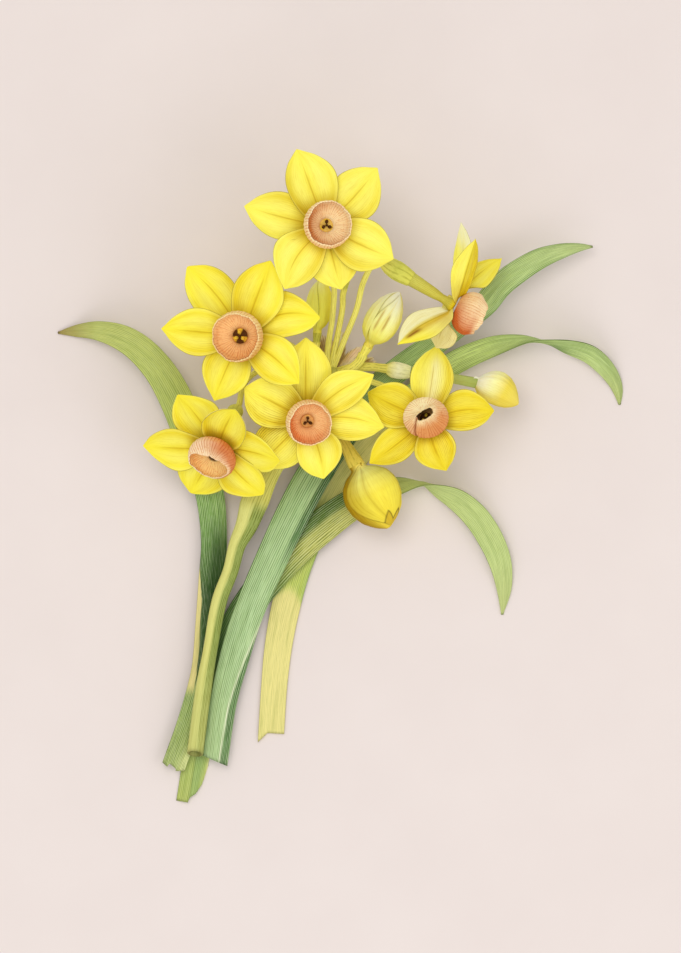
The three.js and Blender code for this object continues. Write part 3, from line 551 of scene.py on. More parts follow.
def add_petal(piece, bloom, petal, number):
    """A thin ruffled petal with a groove down its middle and a paler back."""
    u, v = eased(PETAL_MESH[0]), edged(PETAL_MESH[1])
    phase = rng.uniform(0, 2 * np.pi, 3)
    petal.setdefault("shade", rng.choice([-1, 1]))
    uu, vv = grid(u, v)
    ruffle = np.sin(2 * np.pi * 1.7 * uu + phase[0] + 1.3 * np.sign(vv))
    wave = RUFFLE_HEIGHT * np.abs(vv) ** 2.5 * ruffle * arch(uu)
    wave -= 0.2 * bell(vv, 0, 0.09) * arch(uu) ** 0.6 * ramp(0.95, 0.6, uu)
    wave += 0.07 * np.cos(9 * vv + phase[1]) * arch(uu)
    wave -= petal.get("groove", 0) * bell(vv, -0.15, 0.3) * bell(uu, 0.6, 0.28)
    upper = petal_grid(bloom, petal, u, v, wave)
    thick = PETAL_THICKNESS * (0.25 + 0.75 * (1 - vv ** 2)) * (0.4 + 0.6 * (1 - uu ** 3))
    lower = upper - grid_normals(upper) * thick[..., None]
    tint = petal_tint(u, v, bloom, petal)
    paler = lined(blend(tint[..., :3], PALE_BACK, petal.get("backing", 0.5)), tint[..., 3])
    piece.blade(upper, lower, flow_grid(u, v, number), tint, paler)


def profile_at(profile, rows):
    """Radius and height at equal steps along a profile of (radius, height) points."""
    t = np.linspace(0, len(profile) - 1, rows)
    return (np.interp(t, np.arange(len(profile)), column) for column in zip(*profile))


def add_tube(piece, bloom, number):
    """The tube behind the petals, which widens to the hub that they grow from."""
    out, right, up = flower_axes(bloom.get("tube_axis", bloom["axis"]))
    length = bloom.get("tube", TUBE_LENGTH) + 0.7
    hub = bloom.get("hub", HUB_RADIUS)
    middle = bloom.get("tube_radius", TUBE_RADIUS)
    wide, slim = (middle * (1 + k * bloom.get("taper", 0)) for k in (0.5, -0.5))
    rows, sides = TUBE_MESH
    radius, height = profile_at([
        (wide * 0.95, -length), (wide * 0.98, -length + 0.5), ((wide + slim) * 0.48, -length * 0.5),
        (slim * 0.95, -4.5), (slim * 1.1, -2.9), (hub * 0.85, -1.7), (hub, -0.9), (hub * 0.9, -0.5),
        (hub * 0.4, -0.35),
    ], rows)
    angle = full_turn(sides)
    radius = radius[:, None] * (1 + 0.035 * np.cos(6 * angle))
    rings = lathe_rings(bloom["throat"], out, right, up, radius, height[:, None], angle)
    share = (height + length) / length
    piece.tube(rings, share * 2, angle, number, gradient(TUBE_COLOURS, share), strength=0.5)


THROAT = (200, 140, 70)
BROWN = (88, 54, 24)
RIM_LINE = (150, 84, 44)

# Lit colour, colour of the painted shade, and the angle that the painted shade lies to, for the inside and
# the outside of each cup

CUP_PAINTS = {
    "top": [((254, 232, 178), (206, 130, 66), 190), ((254, 230, 182), (244, 200, 142), 300)],
    "left": [((250, 205, 140), (238, 182, 112), 300), ((250, 222, 160), (220, 170, 92), 270)],
    "centre": [((250, 210, 146), (234, 142, 78), 200), ((254, 226, 174), (246, 204, 140), 20)],
    "low": [((255, 222, 146), (244, 178, 98), 120), ((255, 236, 194), (212, 134, 80), 10)],
    "right": [((206, 168, 104), (96, 58, 26), 205), ((253, 238, 184), (220, 150, 88), 305)],
    "side": [((240, 180, 120), (210, 120, 60), 180), ((252, 226, 174), (208, 108, 48), 200)],
}
# Where the rim lies, counted in points of a cup's profile

RIM_POINT = 9.4


def cup_form(bloom):
    """Radius and height of a cup's section, up its outside and down its inside, and its depth."""
    r = CUP_RADIUS * bloom.get("cup_wide", 1)
    deep = CUP_DEPTH * bloom.get("cup_deep", 1)
    mouth = bloom.get("mouth", 0.94)
    throat = bloom.get("throat_radius", 2.0)
    profile = [
        (r * 0.2, 0.3 * SEAT_GAP), (r * 0.5, 0.3 * SEAT_GAP), (r * 0.7, deep * 0.1), (r * 0.84, deep * 0.2),
        (r * 0.94, deep * 0.34), (r * 0.99, deep * 0.5), (r, deep * 0.68),
        (r * (0.35 + 0.65 * mouth), deep * 0.86), (r * mouth, deep * 0.985),
        (r * mouth - CUP_WALL * 0.4, deep), (r * mouth - CUP_WALL * 0.8, deep * 0.97),
        (r * (0.33 + 0.62 * mouth) - CUP_WALL, deep * 0.8), (r * 0.8, deep * 0.6), (r * 0.62, deep * 0.45),
        (throat + 0.5, deep * 0.35), (throat, deep * 0.25), (0.4, deep * 0.17),
    ]
    radius, height = (smoothed(values, 3) for values in profile_at(profile, CUP_MESH[0]))
    row = np.linspace(0, len(profile) - 1, CUP_MESH[0])
    return radius, height, row, r * mouth, deep


def cup_tint(bloom, angle, level, row, cleft):
    """Painted shade to one side within and without, deep in the throat and low on the outside, with a line
    along the rim and in the cleft.
    """
    (light, dark, toward), (pale, deep, facing) = CUP_PAINTS[bloom["name"]]
    # Painted shade: the inside darker to one side and deep in the throat.
    share = 0.5 + 0.5 * np.cos(angle - math.radians(toward))
    inner = blend(light, dark, share ** 1.2)
    inner = blend(inner, light, 0.5 * ramp(0.55, 0.4, level))
    inner = blend(inner, THROAT, ramp(0.3, 0.22, level))
    # A brown patch of painted shade low on the inner wall, under the hood of a bloom that has a hollow.
    if "hollow" in bloom:
        place, start = bloom["hollow"]
        hollow = bell(angle, math.radians(place), 0.6, 4) * ramp(start, start - 0.05, level)
        inner = blend(inner, BROWN, 0.95 * hollow)
    # Painted shade: the outside darker to one side and low down by the petals.
    away = 0.5 + 0.5 * np.cos(angle - math.radians(facing))
    outer = blend(pale, deep, 1.3 * away - 0.1 + 0.5 * ramp(0.5, 0.0, level))
    outer = blend(outer, pale, 0.8 * ramp(0.8, 1.0, level))
    line = bell(row, RIM_POINT + 0.3, 0.28) * (0.75 + 0.25 * np.cos(angle - math.radians(toward)))
    tint = blend(np.where((row > RIM_POINT)[..., None], inner, outer), RIM_LINE, line)
    return lined(blend(tint, RIM_LINE, 0.9 * cleft), 0.45 + 0.3 * share)


def add_cup(piece, bloom, number):
    """A ribbed bowl with a lobed, slightly drawn-in rim and a throat in its floor."""
    out, right, up = flower_axes(bloom["axis"])
    radius, height, row, mouth_radius, deep = cup_form(bloom)
    row = row[:, None]
    angle = full_turn(CUP_MESH[1])
    rim = ramp(0.55, 1.0, height / deep)[:, None]
    phase = rng.uniform(0, 2 * np.pi, 3)
    lobes = 0.022 * np.cos(3 * angle + phase[0]) + 0.014 * np.cos(7 * angle + phase[1])
    lobes += 0.01 * np.cos(13 * angle)
    ribs = 0.008 * np.cos(30 * angle + phase[2])
    radius = radius[:, None] * (1 + lobes * rim + ribs * ramp(0.1, 0.5, height / deep)[:, None])
    if "slit" in bloom:
        long, short, turned = bloom["slit"]
        a = angle - math.radians(turned)
        short = short * np.where(np.sin(a) > 0, 0.66, 1.25)
        opening = long * short / np.sqrt((short * np.cos(a)) ** 2 + (long * np.sin(a)) ** 2)
        close = ramp(0.72, 1.0, height / deep)[:, None]
        radius = radius * (1 - close) + np.minimum(opening * (radius / mouth_radius), radius) * close
    lip = bloom.get("lip", 0) * rim ** 2 * np.maximum(np.sin(angle), 0) ** 2
    ragged = 0.16 * np.cos(5 * angle + phase[1]) + 0.09 * np.cos(12 * angle + phase[0])
    height = height[:, None] + lip + rim ** 3 * ragged
    level = np.clip(height / deep, 0, 1)
    cleft = np.zeros(level.shape)
    if "cleft" in bloom:
        path = np.radians(np.interp(level, [0.3, 0.6, 0.85, 1], [250, 246, 232, 214]))
        cleft = bell((angle - path) * radius, 0, 0.4) * ramp(0.2, 0.45, level) * (row <= RIM_POINT)
        radius = radius - bloom["cleft"] * cleft
    rings = lathe_rings(bloom["throat"], out, right, up * bloom.get("squash", 1), radius, height, angle)
    if "slit" in bloom:
        drift = ramp(0.55, 1.0, level)[..., None]
        rings = rings + drift * (right * bloom["slit_shift"][0] + up * bloom["slit_shift"][1])
    flow = flow_grid(np.linspace(0, 2, CUP_MESH[0]), np.abs(angle / np.pi - 1), number)
    piece.loft(rings, flow, cup_tint(bloom, angle, level, row, cleft))


def ellipsoid(piece, centre, ahead, length, radius, tint, number, rows=12, sides=12, groove=0.0):
    """A long round body; a groove cuts it at four sides."""
    ahead = unit(ahead)
    side = unit(np.cross(ahead, [0.31, 0.52, 0.79]))
    lift = np.cross(ahead, side)
    t = np.linspace(0.04, 0.96, rows)
    angle = full_turn(sides)
    around = radius * np.sin(np.pi * t)[:, None] ** 0.6 * (1 - groove * np.cos(2 * angle) ** 4)
    rings = lathe_rings(centre, ahead, side, lift, around, ((t - 0.5) * 2 * length)[:, None], angle)
    piece.tube(rings, t, angle, number, np.broadcast_to(linear(tint), (rows, 3)), strength=0.4)


POLLEN = (240, 208, 66)
# Light and dark colours of the disc's rays, the anthers' colour, and a size; the low bloom's heart is dark
# brown all over, painted shade in its throat.
HEARTS = {
    "top": (POLLEN, (232, 196, 96), BROWN, 0.9), "left": (POLLEN, BROWN, POLLEN, 1.0),
    "centre": ((236, 196, 110), (226, 170, 100), BROWN, 0.85), "low": (BROWN, BROWN, BROWN, 0.7),
    "right": (BROWN, BROWN, POLLEN, 0.8), "side": (POLLEN, BROWN, POLLEN, 0.9),
}
HEART_PROFILE = [(0.6, 0), (0.72, 0.05), (0.8, 0.3), (0.8, 0.5), (0.74, 0.62), (0.5, 0.66), (0.2, 0.66)]


def add_stamens(piece, bloom, number):
    """A small disc in the throat with three anthers that lie open, and the style."""
    out, right, up = flower_axes(bloom["axis"])
    light, dark, anther, size = HEARTS[bloom["name"]]
    base = np.array(bloom["throat"]) + out * (CUP_DEPTH * 0.17 + SEAT_GAP)
    angle = full_turn(HEART_SIDES)
    radius, height = (np.array(column)[:, None] for column in zip(*HEART_PROFILE))
    rings = lathe_rings(base, out, right, up, radius * THROAT_RADIUS * size, height, angle)
    rays = ramp(0.0, 0.9, np.cos(3 * angle + np.pi / 2))
    disc_tint = np.broadcast_to(blend(dark, light, rays), rings.shape)
    flow = flow_grid(np.linspace(0, 1, len(HEART_PROFILE)), angle / np.pi, number)
    piece.loft(rings, flow, lined(disc_tint, 0.3))
    for k in range(3):
        place = math.radians(90 + 120 * k)
        away = right * math.cos(place) + up * math.sin(place)
        centre = base + away * THROAT_RADIUS * 0.42 * size + out * 1.1
        ellipsoid(piece, centre, out + away * 0.9, 0.85 * size, 0.55 * size, anther, number, groove=0.3)
    ellipsoid(piece, base + out * 1.1, out, length=1.1, radius=0.4 * size, tint=BROWN, number=number)


def front(angle, reach, **more):
    """A petal of the front whorl, at an angle and of a length."""
    return {"angle": angle, "reach": reach, "lift": 6, "curl": -6, "front": True, **more}


def back(angle, reach, **more):
    """A petal of the back whorl."""
    return {"angle": angle, "reach": reach, "lift": 4, "curl": -5, "front": False, **more}


def paint_spoon(uu, vv, tint):
    """Cream over the rolled upper half, yellow along the lower rim, and painted shade in the groove: darker
    gold along it and brown in its deepest hollow.
    """
    tint = blend(tint, CREAM, 0.95 * ramp(-0.05, 0.35, vv))
    tint = blend(tint, (244, 230, 140), 0.6 * ramp(0.0, -0.3, vv) * ramp(0.7, 0.3, uu))
    # Painted shade in the groove: darker gold along it, then brown in its deepest hollow.
    tint = blend(tint, (217, 182, 64), 0.8 * bell(vv, -0.12, 0.22) * ramp(0.95, 0.8, uu))
    hollow = bell(vv, -0.12, 0.12, 4) * ramp(0.54, 0.68, uu) * ramp(0.88, 0.78, uu)
    return blend(tint, (136, 80, 24), 0.95 * hollow)


def paint_folded(uu, vv, tint):
    """A painted highlight on the near half, painted shade on the half beyond the fold, and a dark line of
    painted shade along the fold.
    """
    # Painted light: the near half lit, the half beyond the fold in shade, and a line of shade along the fold.
    tint = blend(tint, LIGHT_YELLOW, 0.5 * ramp(0.0, 0.2, vv))
    tint = blend(tint, GOLD, 0.6 * ramp(0.02, -0.1, vv))
    return blend(tint, (150, 120, 30), 0.75 * bell(vv, -0.03, 0.035))


def paint_pale_tip(uu, vv, tint):
    """Bright yellow, and nearly white toward the tip."""
    tint = blend(tint, (255, 250, 84), 0.8)
    return blend(tint, (255, 255, 214), 0.9 * ramp(0.5, 0.85, uu + 0.15 * vv))


def paint_light(uu, vv, tint):
    """A pale band down the middle."""
    return blend(tint, (255, 252, 186), 0.8 * bell(vv, -0.12, 0.3) * ramp(0.95, 0.7, uu))


def paint_beige(uu, vv, tint):
    """Pale all over."""
    return blend(tint, (255, 244, 180), 0.9)


BLOOMS = [dict(
    name="top", throat=(-4.2, 68.2, 44), axis=(0.17, 0.06, 1), cup_wide=1.05, lines=0.15, tone=-0.45,
    throat_radius=1.7,
    petals=[
        back(48, 20, wide=0.96, bow=-0.6, shade=-1), front(111, 20.5, wide=1.07, rims=(0, 55), shade=1),
        back(167, 21, wide=0.94, bow=0.4, rims=(0, 60), shade=-1),
        front(-123, 19, wide=0.96, bow=-1.9, shade=1), back(-75, 16, lift=2, shade=1),
        front(-25, 19, wide=1.0, bow=-0.4, shade=-1),
    ],
    stalk=[(-3.2, 29, 11.5), (-3.6, 34, 13.5), (-2.2, 44, 18), (-1.8, 53, 21.8), (-3.5, 62, 23.5)],
), dict(
    name="left", throat=(-26.9, 38.5, 37), axis=(-0.26, -0.08, 1), cup_wide=1.12, lines=0.2,
    throat_radius=2.5,
    petals=[
        front(68, 20.5, wide=1.04, rims=(0, 60), shade=1),
        back(13.5, 20.7, wide=0.87, bow=3.2, full=0.7, shade=1), front(-38, 19, wide=0.88, bow=1, shade=-1),
        back(-114, 18, wide=0.94, bow=-0.5, full=0.15, shade=-1),
        front(176, 21, wide=0.9, full=0.2, shade=1),
        back(130, 22.5, wide=1.02, bow=-1.3, full=0.7, rims=(70, 0), shade=-1),
    ],
    stalk=[(-3, 28.6, 11.5), (-6.5, 31.5, 13), (-16, 37.5, 13.5)],
), dict(
    name="centre", throat=(-9.4, 15.6, 29), axis=(0.17, -0.2, 1), cup_wide=1.01, lines=0.6, tone=-0.3,
    petals=[
        front(33, 20.5, wide=0.75, bow=1.5, lines=0.2, shade=-1), back(90, 21, lines=0.4, shade=1),
        front(151, 17.6, lift=4, curl=-8, full=0.9, shade=1),
        back(-133, 17, lift=-9, curl=-6, lines=0.8, shade=-1),
        front(-74, 15.5, wide=0.88, bow=0.9, full=0.5, lines=0.15, shade=1),
        back(-7, 20, lift=8, wide=0.88, bow=1.6, lines=0.4, shade=-1),
    ],
    stalk=[(-3, 28.3, 11), (-7.5, 27.2, 9), (-12.5, 23.5, 7)],
), dict(
    name="low", throat=(-34.2, 7.3, 23), axis=(-0.3, -0.62, 0.72), cup_wide=1.07, cup_deep=0.8, mouth=0.88,
    lines=0.2, slit=(5.9, 3.9, -14), slit_shift=(-0.2, -0.35), hollow=(262, 0.36),
    petals=[
        front(70, 18.5, lift=5, curl=12, wide=1.08, bow=0.5, full=0.8, rims=(75, 75), shade=1),
        back(130, 17, lift=0, curl=-14, bow=-1.2, full=0.6, rims=(0, 60), shade=1),
        front(-171, 19.5, bow=0.2, shade=-1), back(-113, 18, full=0.9, shade=1),
        front(-42, 16.5, full=1, wide=0.97, bow=-0.9, shade=-1),
        back(11, 18.6, lift=15, curl=-3, bow=0.8, shade=1),
    ],
    stalk=[(-3, 28.3, 11), (-10, 30.5, 10.3), (-20, 30.5, 9.5), (-26.5, 26, 8)],
), dict(
    name="right", throat=(23.6, 15.7, 23), axis=(-0.04, 0.1, 1), tube=10, mouth=0.45, lines=0.6, tone=0.75,
    slit=(3.4, 1.5, 35), slit_shift=(-0.4, 0.9), squash=0.9, cleft=0.35,
    petals=[
        front(82, 18.7, wide=0.82, tone=-0.3, lines=0.55, paint=paint_light, shade=-1),
        back(7.5, 17, wide=0.79, full=0.6, bow=1.3, shade=-1),
        front(-69, 13.5, wide=0.8, full=0.35, bow=-0.7, shade=1),
        back(-142.5, 18, wide=0.68, bow=0.4, fold=0.3, shade=1),
        front(155, 16, wide=0.88, bow=0.3, shade=1), back(118, 6.5, wide=0.5),
    ],
    stalk=[(-2.2, 28.6, 11), (4, 27.4, 10.6), (12, 25, 9.4), (19.5, 20.5, 6.6), (23.4, 16.5, 5)],
), dict(
    name="side", throat=(31.6, 46.5, 30), axis=(0.9, -0.43, 0), tube=14, mouth=0.75,
    tube_axis=(0.85, -0.527, 0), hub=2.1, tube_radius=1.55, taper=0.5, ovary=(9.3, 2.75, "pear"),
    cup_deep=1.05, cup_wide=0.97, lines=0.5, lip=0.9,
    petals=[
        back(-12, 22, lift=-4, curl=-33, wide=0.42, roll=50, lines=0.15, tone=-0.4, backing=0.2,
            paint=paint_pale_tip, shade=-1),
        front(38, 22, lift=-5.5, curl=-4, wide=0.55, fold=-0.6, roll=-50, twist=0.1, full=0.1, lines=0.8,
            paint=paint_folded, shade=-1),
        back(-33, 20.6, lift=12.5, curl=14, wide=0.62, roll=70, full=0.1, lines=0.4, backing=0.05,
            shade=-1),
        front(150, 19.7, lift=-35.2, curl=12, wide=0.68, cup=-1, roll=-75, twist=0.1, full=0.1, groove=0.8,
            paint=paint_spoon, lines=0.15, backing=0, shade=1),
        back(-150, 12.5, lift=8, curl=-6, wide=0.76, roll=-60, backing=0, paint=paint_beige),
        back(-95, 8, lift=-14, wide=0.4),
    ],
    stalk=[(-2.4, 29, 11), (0.6, 36.5, 15), (4.4, 46, 20), (6, 52.6, 24.6), (8.2, 57.3, 28.4)],
)]

for number, bloom in enumerate(BLOOMS):
    petals, cup, stamens = Piece(), Piece(), Piece()
    shells = len(bloom["petals"]) + 1
    for k, petal in enumerate(bloom["petals"], number * shells):
        add_petal(petals, bloom, petal, k)
    add_tube(petals, bloom, k + 1)
    add_cup(cup, bloom, number)
    add_stamens(stamens, bloom, number)
    node = "bloom_" + bloom["name"]
    petals.build(node + "_petals_fine", PETAL_SKIN, node + "_petals", "petal")
    cup.build(node + "_cup_fine", CUP_SKIN, node + "_cup", "cup")
    stamens.build(node + "_stamens_fine", ANTHER_SKIN, node + "_stamens", "anther")


# Buds

BUDS = [dict(
    name="small", base=(7.7, 36.2, 15), tip=(16.2, 50.8, 18), radius=4.5, flat=1, neck=1.5, full=0.8,
    stalk=[(-3, 26.6, 10.6), (0.6, 28.4, 11.9)], stalk_radius=1.25, ovary=(3.6, 1.43, "cone"),
    colours=[(0, (244, 228, 100)), (0.2, (255, 250, 116)), (0.5, (255, 255, 172)), (1, (255, 255, 236))],
    shade=((246, 228, 88), 200), lines=0.35, strokes=[(78, 0.3, 0.66), (104, 0.34, 0.62)],
    layers=[(24, 37, 0.97), (122, 60, 0.97)],
), dict(
    name="upright", base=(-6.4, 40, 13.5), tip=(-5.1, 54.6, 15.5), radius=3.5, flat=0.9, neck=1.3, full=0.7,
    stalk=[(-3, 28.3, 11), (-4.6, 33, 12)], stalk_radius=1.1, ovary=(3.6, 1.24, "cone"),
    colours=[(0, (250, 246, 110)), (0.3, (255, 255, 108)), (0.7, (255, 255, 126)), (1, (255, 255, 180))],
    shade=((254, 244, 90), 180), lines=0.25, layers=[(35, 52, 0.95)],
), dict(
    name="hidden", base=(1.6, 54.6, 20.5), tip=(3.6, 65, 25), radius=2.6, flat=1, neck=1.2,
    stalk=[(-3, 28.6, 11.5), (-1.9, 34, 13.5), (-0.6, 40, 15.8), (0.6, 47, 18.2)],
    stalk_radius=PEDICEL_RADIUS, ovary=(3.6, 1.14, "cone"),
    colours=[(0, (226, 216, 96)), (0.3, (248, 238, 104)), (1, (255, 248, 138))],
    shade=((226, 214, 72), 180), lines=0.4,
), dict(
    name="pale", base=(36.9, 26.4, 13), tip=(49.1, 20, 14), radius=4.6, flat=0.85, neck=1.5, full=0.8,
    bend=1.1, stalk=[(-3, 28.3, 11), (4, 30.2, 11), (9, 30.3, 12)], stalk_radius=1.2,
    tube_route=[(19.6, 28.8, 12.6), (29, 27.4, 12.8)], ovary=(6.5, 2.3, "taper"),
    colours=[
        (0, (255, 255, 236)), (0.12, (255, 255, 232)), (0.4, (255, 253, 178)), (0.66, (240, 220, 84)),
        (1, (240, 220, 100)),
    ],
    shade=((230, 208, 80), 185), lines=0.35, seam=0.2,
), dict(
    name="nodding", base=(4.6, 3, 12.5), tip=(13.2, -14.2, 11.5), radius=7.7, flat=0.85, neck=2.4,
    full=0.75, stalk=[(-3, 28.3, 10.5), (-0.9, 21, 11), (0.1, 13.6, 12)], stalk_radius=1.1,
    ovary=(7.9, 2.28, "cone"), ovary_axis=(3.9, -7, 0),
    colours=[
        (0, (248, 226, 108)), (0.08, (255, 255, 158)), (0.2, (255, 250, 130)), (0.45, (254, 238, 84)),
        (0.8, (248, 226, 68)), (1, (236, 208, 60)),
    ],
    shade=((176, 142, 16), 178), lines=0.5, layers=[(56, 92, 0.97)], notch=62,
)]


BUD_PROFILE = [
    (0, 0), (0.05, 0.12), (0.12, 0.5), (0.22, 0.79), (0.34, 0.95), (0.46, 1),
    (0.62, 0.93), (0.78, 0.7), (0.91, 0.35), (1, 0.03),
]
BUD_TUBE_COLOURS = [(0, (250, 248, 172)), (0.5, (204, 212, 124)), (1, (172, 190, 104))]
LAYER_NOTCH = [(-0.9, 0.93), (-0.45, 0.8), (-0.1, 0.9), (0.15, 0.76), (0.5, 0.9), (0.9, 0.93)]


def bud_radius(bud, u):
    """Radius along a bud, from its neck (0) to its tip (1)."""
    fine = np.linspace(0, 1, 201)
    share = np.interp(fine, *zip(*BUD_PROFILE)) ** bud.get("full", 1)
    neck = bud["neck"] * 0.95 * np.maximum(0, 1 - fine / 0.3)
    radius = (np.maximum(bud["radius"] * share, 0) ** 3 + neck ** 3) ** (1 / 3)
    padded = np.r_[[radius[0]] * 6, radius, np.maximum(2 * radius[-1] - radius[-2:-8:-1], 0)]
    kernel = np.hanning(15)[1:-1]
    return np.interp(u, fine, np.convolve(padded, kernel / kernel.sum(), "valid"))


def bud_place(bud, uu, aa, radius):
    """Points round a bud's slightly bent axis; angle 90 faces up from the surface."""
    base = np.array(bud["base"], float)
    along = np.array(bud["tip"], float) - base
    across = unit(np.cross([0, 0, 1], along))
    lift = unit(np.cross(along, across))
    middle = base + along * uu[..., None] + across * (bud.get("bend", 0) * arch(uu))[..., None]
    ring = across * (radius * np.cos(aa))[..., None]
    return middle + (ring + lift * (radius * bud["flat"] * np.sin(aa))[..., None])


def bud_tint(bud, uu, aa):
    """Tint along a bud, with painted shade to one side and drawn gold strokes, and the strength of its lines.
    """
    tint = gradient(bud["colours"], uu)
    # Painted shade: the bud darker to one side.
    dark, toward = bud["shade"]
    shaded = ramp(0.1, 1, np.cos(aa - math.radians(toward)))
    tint = blend(tint, dark, shaded)
    for place, start, end in bud.get("strokes", []):
        window = ramp(start - 0.05, start + 0.08, uu) * ramp(end + 0.08, end - 0.05, uu)
        tint = blend(tint, (190, 146, 24), 0.8 * window * bell(aa, math.radians(place), 0.07))
    return tint, bud["lines"] * (0.4 + 0.6 * shaded)


def add_bud(piece, bud, number):
    """A ribbed bud with its closed outer petals, and its tube if it has one."""
    u = np.r_[-0.03, eased(BUD_MESH[0])]
    uu, aa = grid(u, full_turn(BUD_MESH[1]))
    swirl = aa + 0.35 * uu
    rib = 0.06 * np.cos(6 * swirl)
    between_ribs = bell(swirl / (2 * np.pi) * 3 % 1, 0.5, 0.05)
    seam = -0.10 * between_ribs
    radius = bud_radius(bud, uu) * (1 + (rib + seam) * arch(uu))
    rings = bud_place(bud, uu, aa, radius)
    tint, strength = bud_tint(bud, uu, aa)
    # Painted shade in the shade colour: in the grooves between the ribs, and just beyond each outer petal's
    # edge.
    dark = linear(bud["shade"][0])
    tint = blend(tint, dark, bud.get("seam", 0.8) * between_ribs)
    for layer in bud.get("layers", []):
        tint = blend(tint, dark * 0.4, 0.7 * bell(beyond_layer(uu, aa, *layer), 0, 0.09))
    flow = flow_grid(u, np.abs(aa[0] / np.pi - 1) * 2, number)
    piece.loft(rings, flow, lined(tint, strength))
    for layer in bud.get("layers", []):
        add_layer(piece, bud, layer, number)
    if "tube_route" in bud:
        base, tip = np.array(bud["base"], float), np.array(bud["tip"], float)
        rows, sides = BUD_TUBE_MESH
        places, ahead, _ = spline([*bud["tube_route"], base + unit(tip - base) * 1.5], rows)
        share = np.linspace(0, 1, rows)
        radii = bud["neck"] * (1 - 0.1 * arch(share))
        rings, angle = tube_rings(places, ahead, radii, sides, ribs=6, depth=0.04)
        piece.tube(rings, share, angle, number, gradient(BUD_TUBE_COLOURS, share), strength=0.2)


def layer_width(uu, half, reach):
    """Half angle of an outer petal of a bud along its length."""
    return np.radians(half) * np.sin(np.pi * np.clip(uu / reach, 0, 1) ** 0.75) ** 0.5


def beyond_layer(uu, aa, toward, half, reach):
    """How far a point of a bud lies beyond an outer petal's edge, in radians."""
    off = np.abs((aa - math.radians(toward) + np.pi) % (2 * np.pi) - np.pi)
    return off - layer_width(uu, half, reach) + (uu > reach)


def add_layer(piece, bud, layer, number):
    """An outer petal that lies closed over the bud, with a free edge."""
    toward, half, reach = layer
    u, v = reach * (0.03 + 0.97 * eased(LAYER_MESH[0])), edged(LAYER_MESH[1])
    uu, vv = grid(u, v)
    aa = math.radians(toward) + layer_width(uu, half, reach) * vv
    radius = bud_radius(bud, uu)
    swell = 0.06 * radius * np.cos(1.5 * vv) + 0.25 * ramp(0, 0.2, uu)
    vein = 0.05 * np.cos(14 * vv) * arch(uu / reach)
    upper = bud_place(bud, uu, aa, radius + swell + vein)
    lower = bud_place(bud, uu, aa, radius * 0.97)
    tint, strength = bud_tint(bud, uu, aa)
    tint = blend(tint, bud["colours"][-2][1], 0.3 * ramp(0.6, 1, np.abs(vv)))
    tint = blend(tint, bud["shade"][0], 0.4 * bell(np.abs(vv), 0.45, 0.07))
    if "notch" in bud:
        off = aa - math.radians(bud["notch"])
        inside = ramp(0.95, 0.8, np.abs(off))
        zigzag = np.interp(off, *zip(*LAYER_NOTCH))
        tint = blend(tint, (212, 176, 40), 0.75 * ramp(0, 0.03, uu - zigzag) * inside)
        tint = blend(tint, (84, 64, 16), 0.95 * bell(uu, zigzag, 0.016) * inside)
    tint = lined(tint, strength)
    piece.blade(upper, lower, flow_grid(u, v, number), tint, tint)


for number, bud in enumerate(BUDS):
    piece = Piece()
    add_bud(piece, bud, number)
    piece.build(f"bud_{bud['name']}_fine", BUD_SKIN, "bud_" + bud["name"], "bud")


# Flower stem

STEM_ROUTE = [
    (-3, 28.3, 11, 2.6), (-5.8, 22.2, 9.4, 2.4), (-9, 16, 8.4, 2.4), (-14, 9, 7.8, 2.5),
    (-19.3, 1.8, 7.4, 2.8), (-23.5, -6.3, 7.1, 3.9), (-26, -13.5, 6.9, 3), (-28.6, -19, 6.8, 2.3),
    (-30.4, -26, 6.7, 2.1), (-33.5, -34.3, 6.6, 2.1), (-36.1, -48.2, 6.5, 1.9), (-38, -59.3, 6.4, 2.2),
    (-40.4, -77.6, 6.4, 2.2),
]
# Stem colours: the lower stem is lifted to yellow on one face as a painted highlight and keeps a darker green
# on the other as painted shade, and its bore is darkened with painted shade.
STEM_UPPER = (224, 218, 112)
STEM_HIGHLIGHT = (220, 218, 130)
STEM_SHADED_GREEN = (136, 156, 78)
STEM_LOW = (200, 202, 120)
STEM_BORE_SHADE = (120, 130, 60)
STEM_BRIM = (84, 74, 36)
STEM_WALL = 0.8
FIRST_BUD_STALK = 9
OVARY_PROFILES = {
    "pear": [0.5, 0.62, 0.87, 1, 0.93, 0.82, 0.76],
    "cone": [0.62, 0.66, 0.7, 0.8, 0.92, 0.99, 1],
    "taper": [0.5, 0.72, 0.97, 1, 0.92, 0.8, 0.72],
}


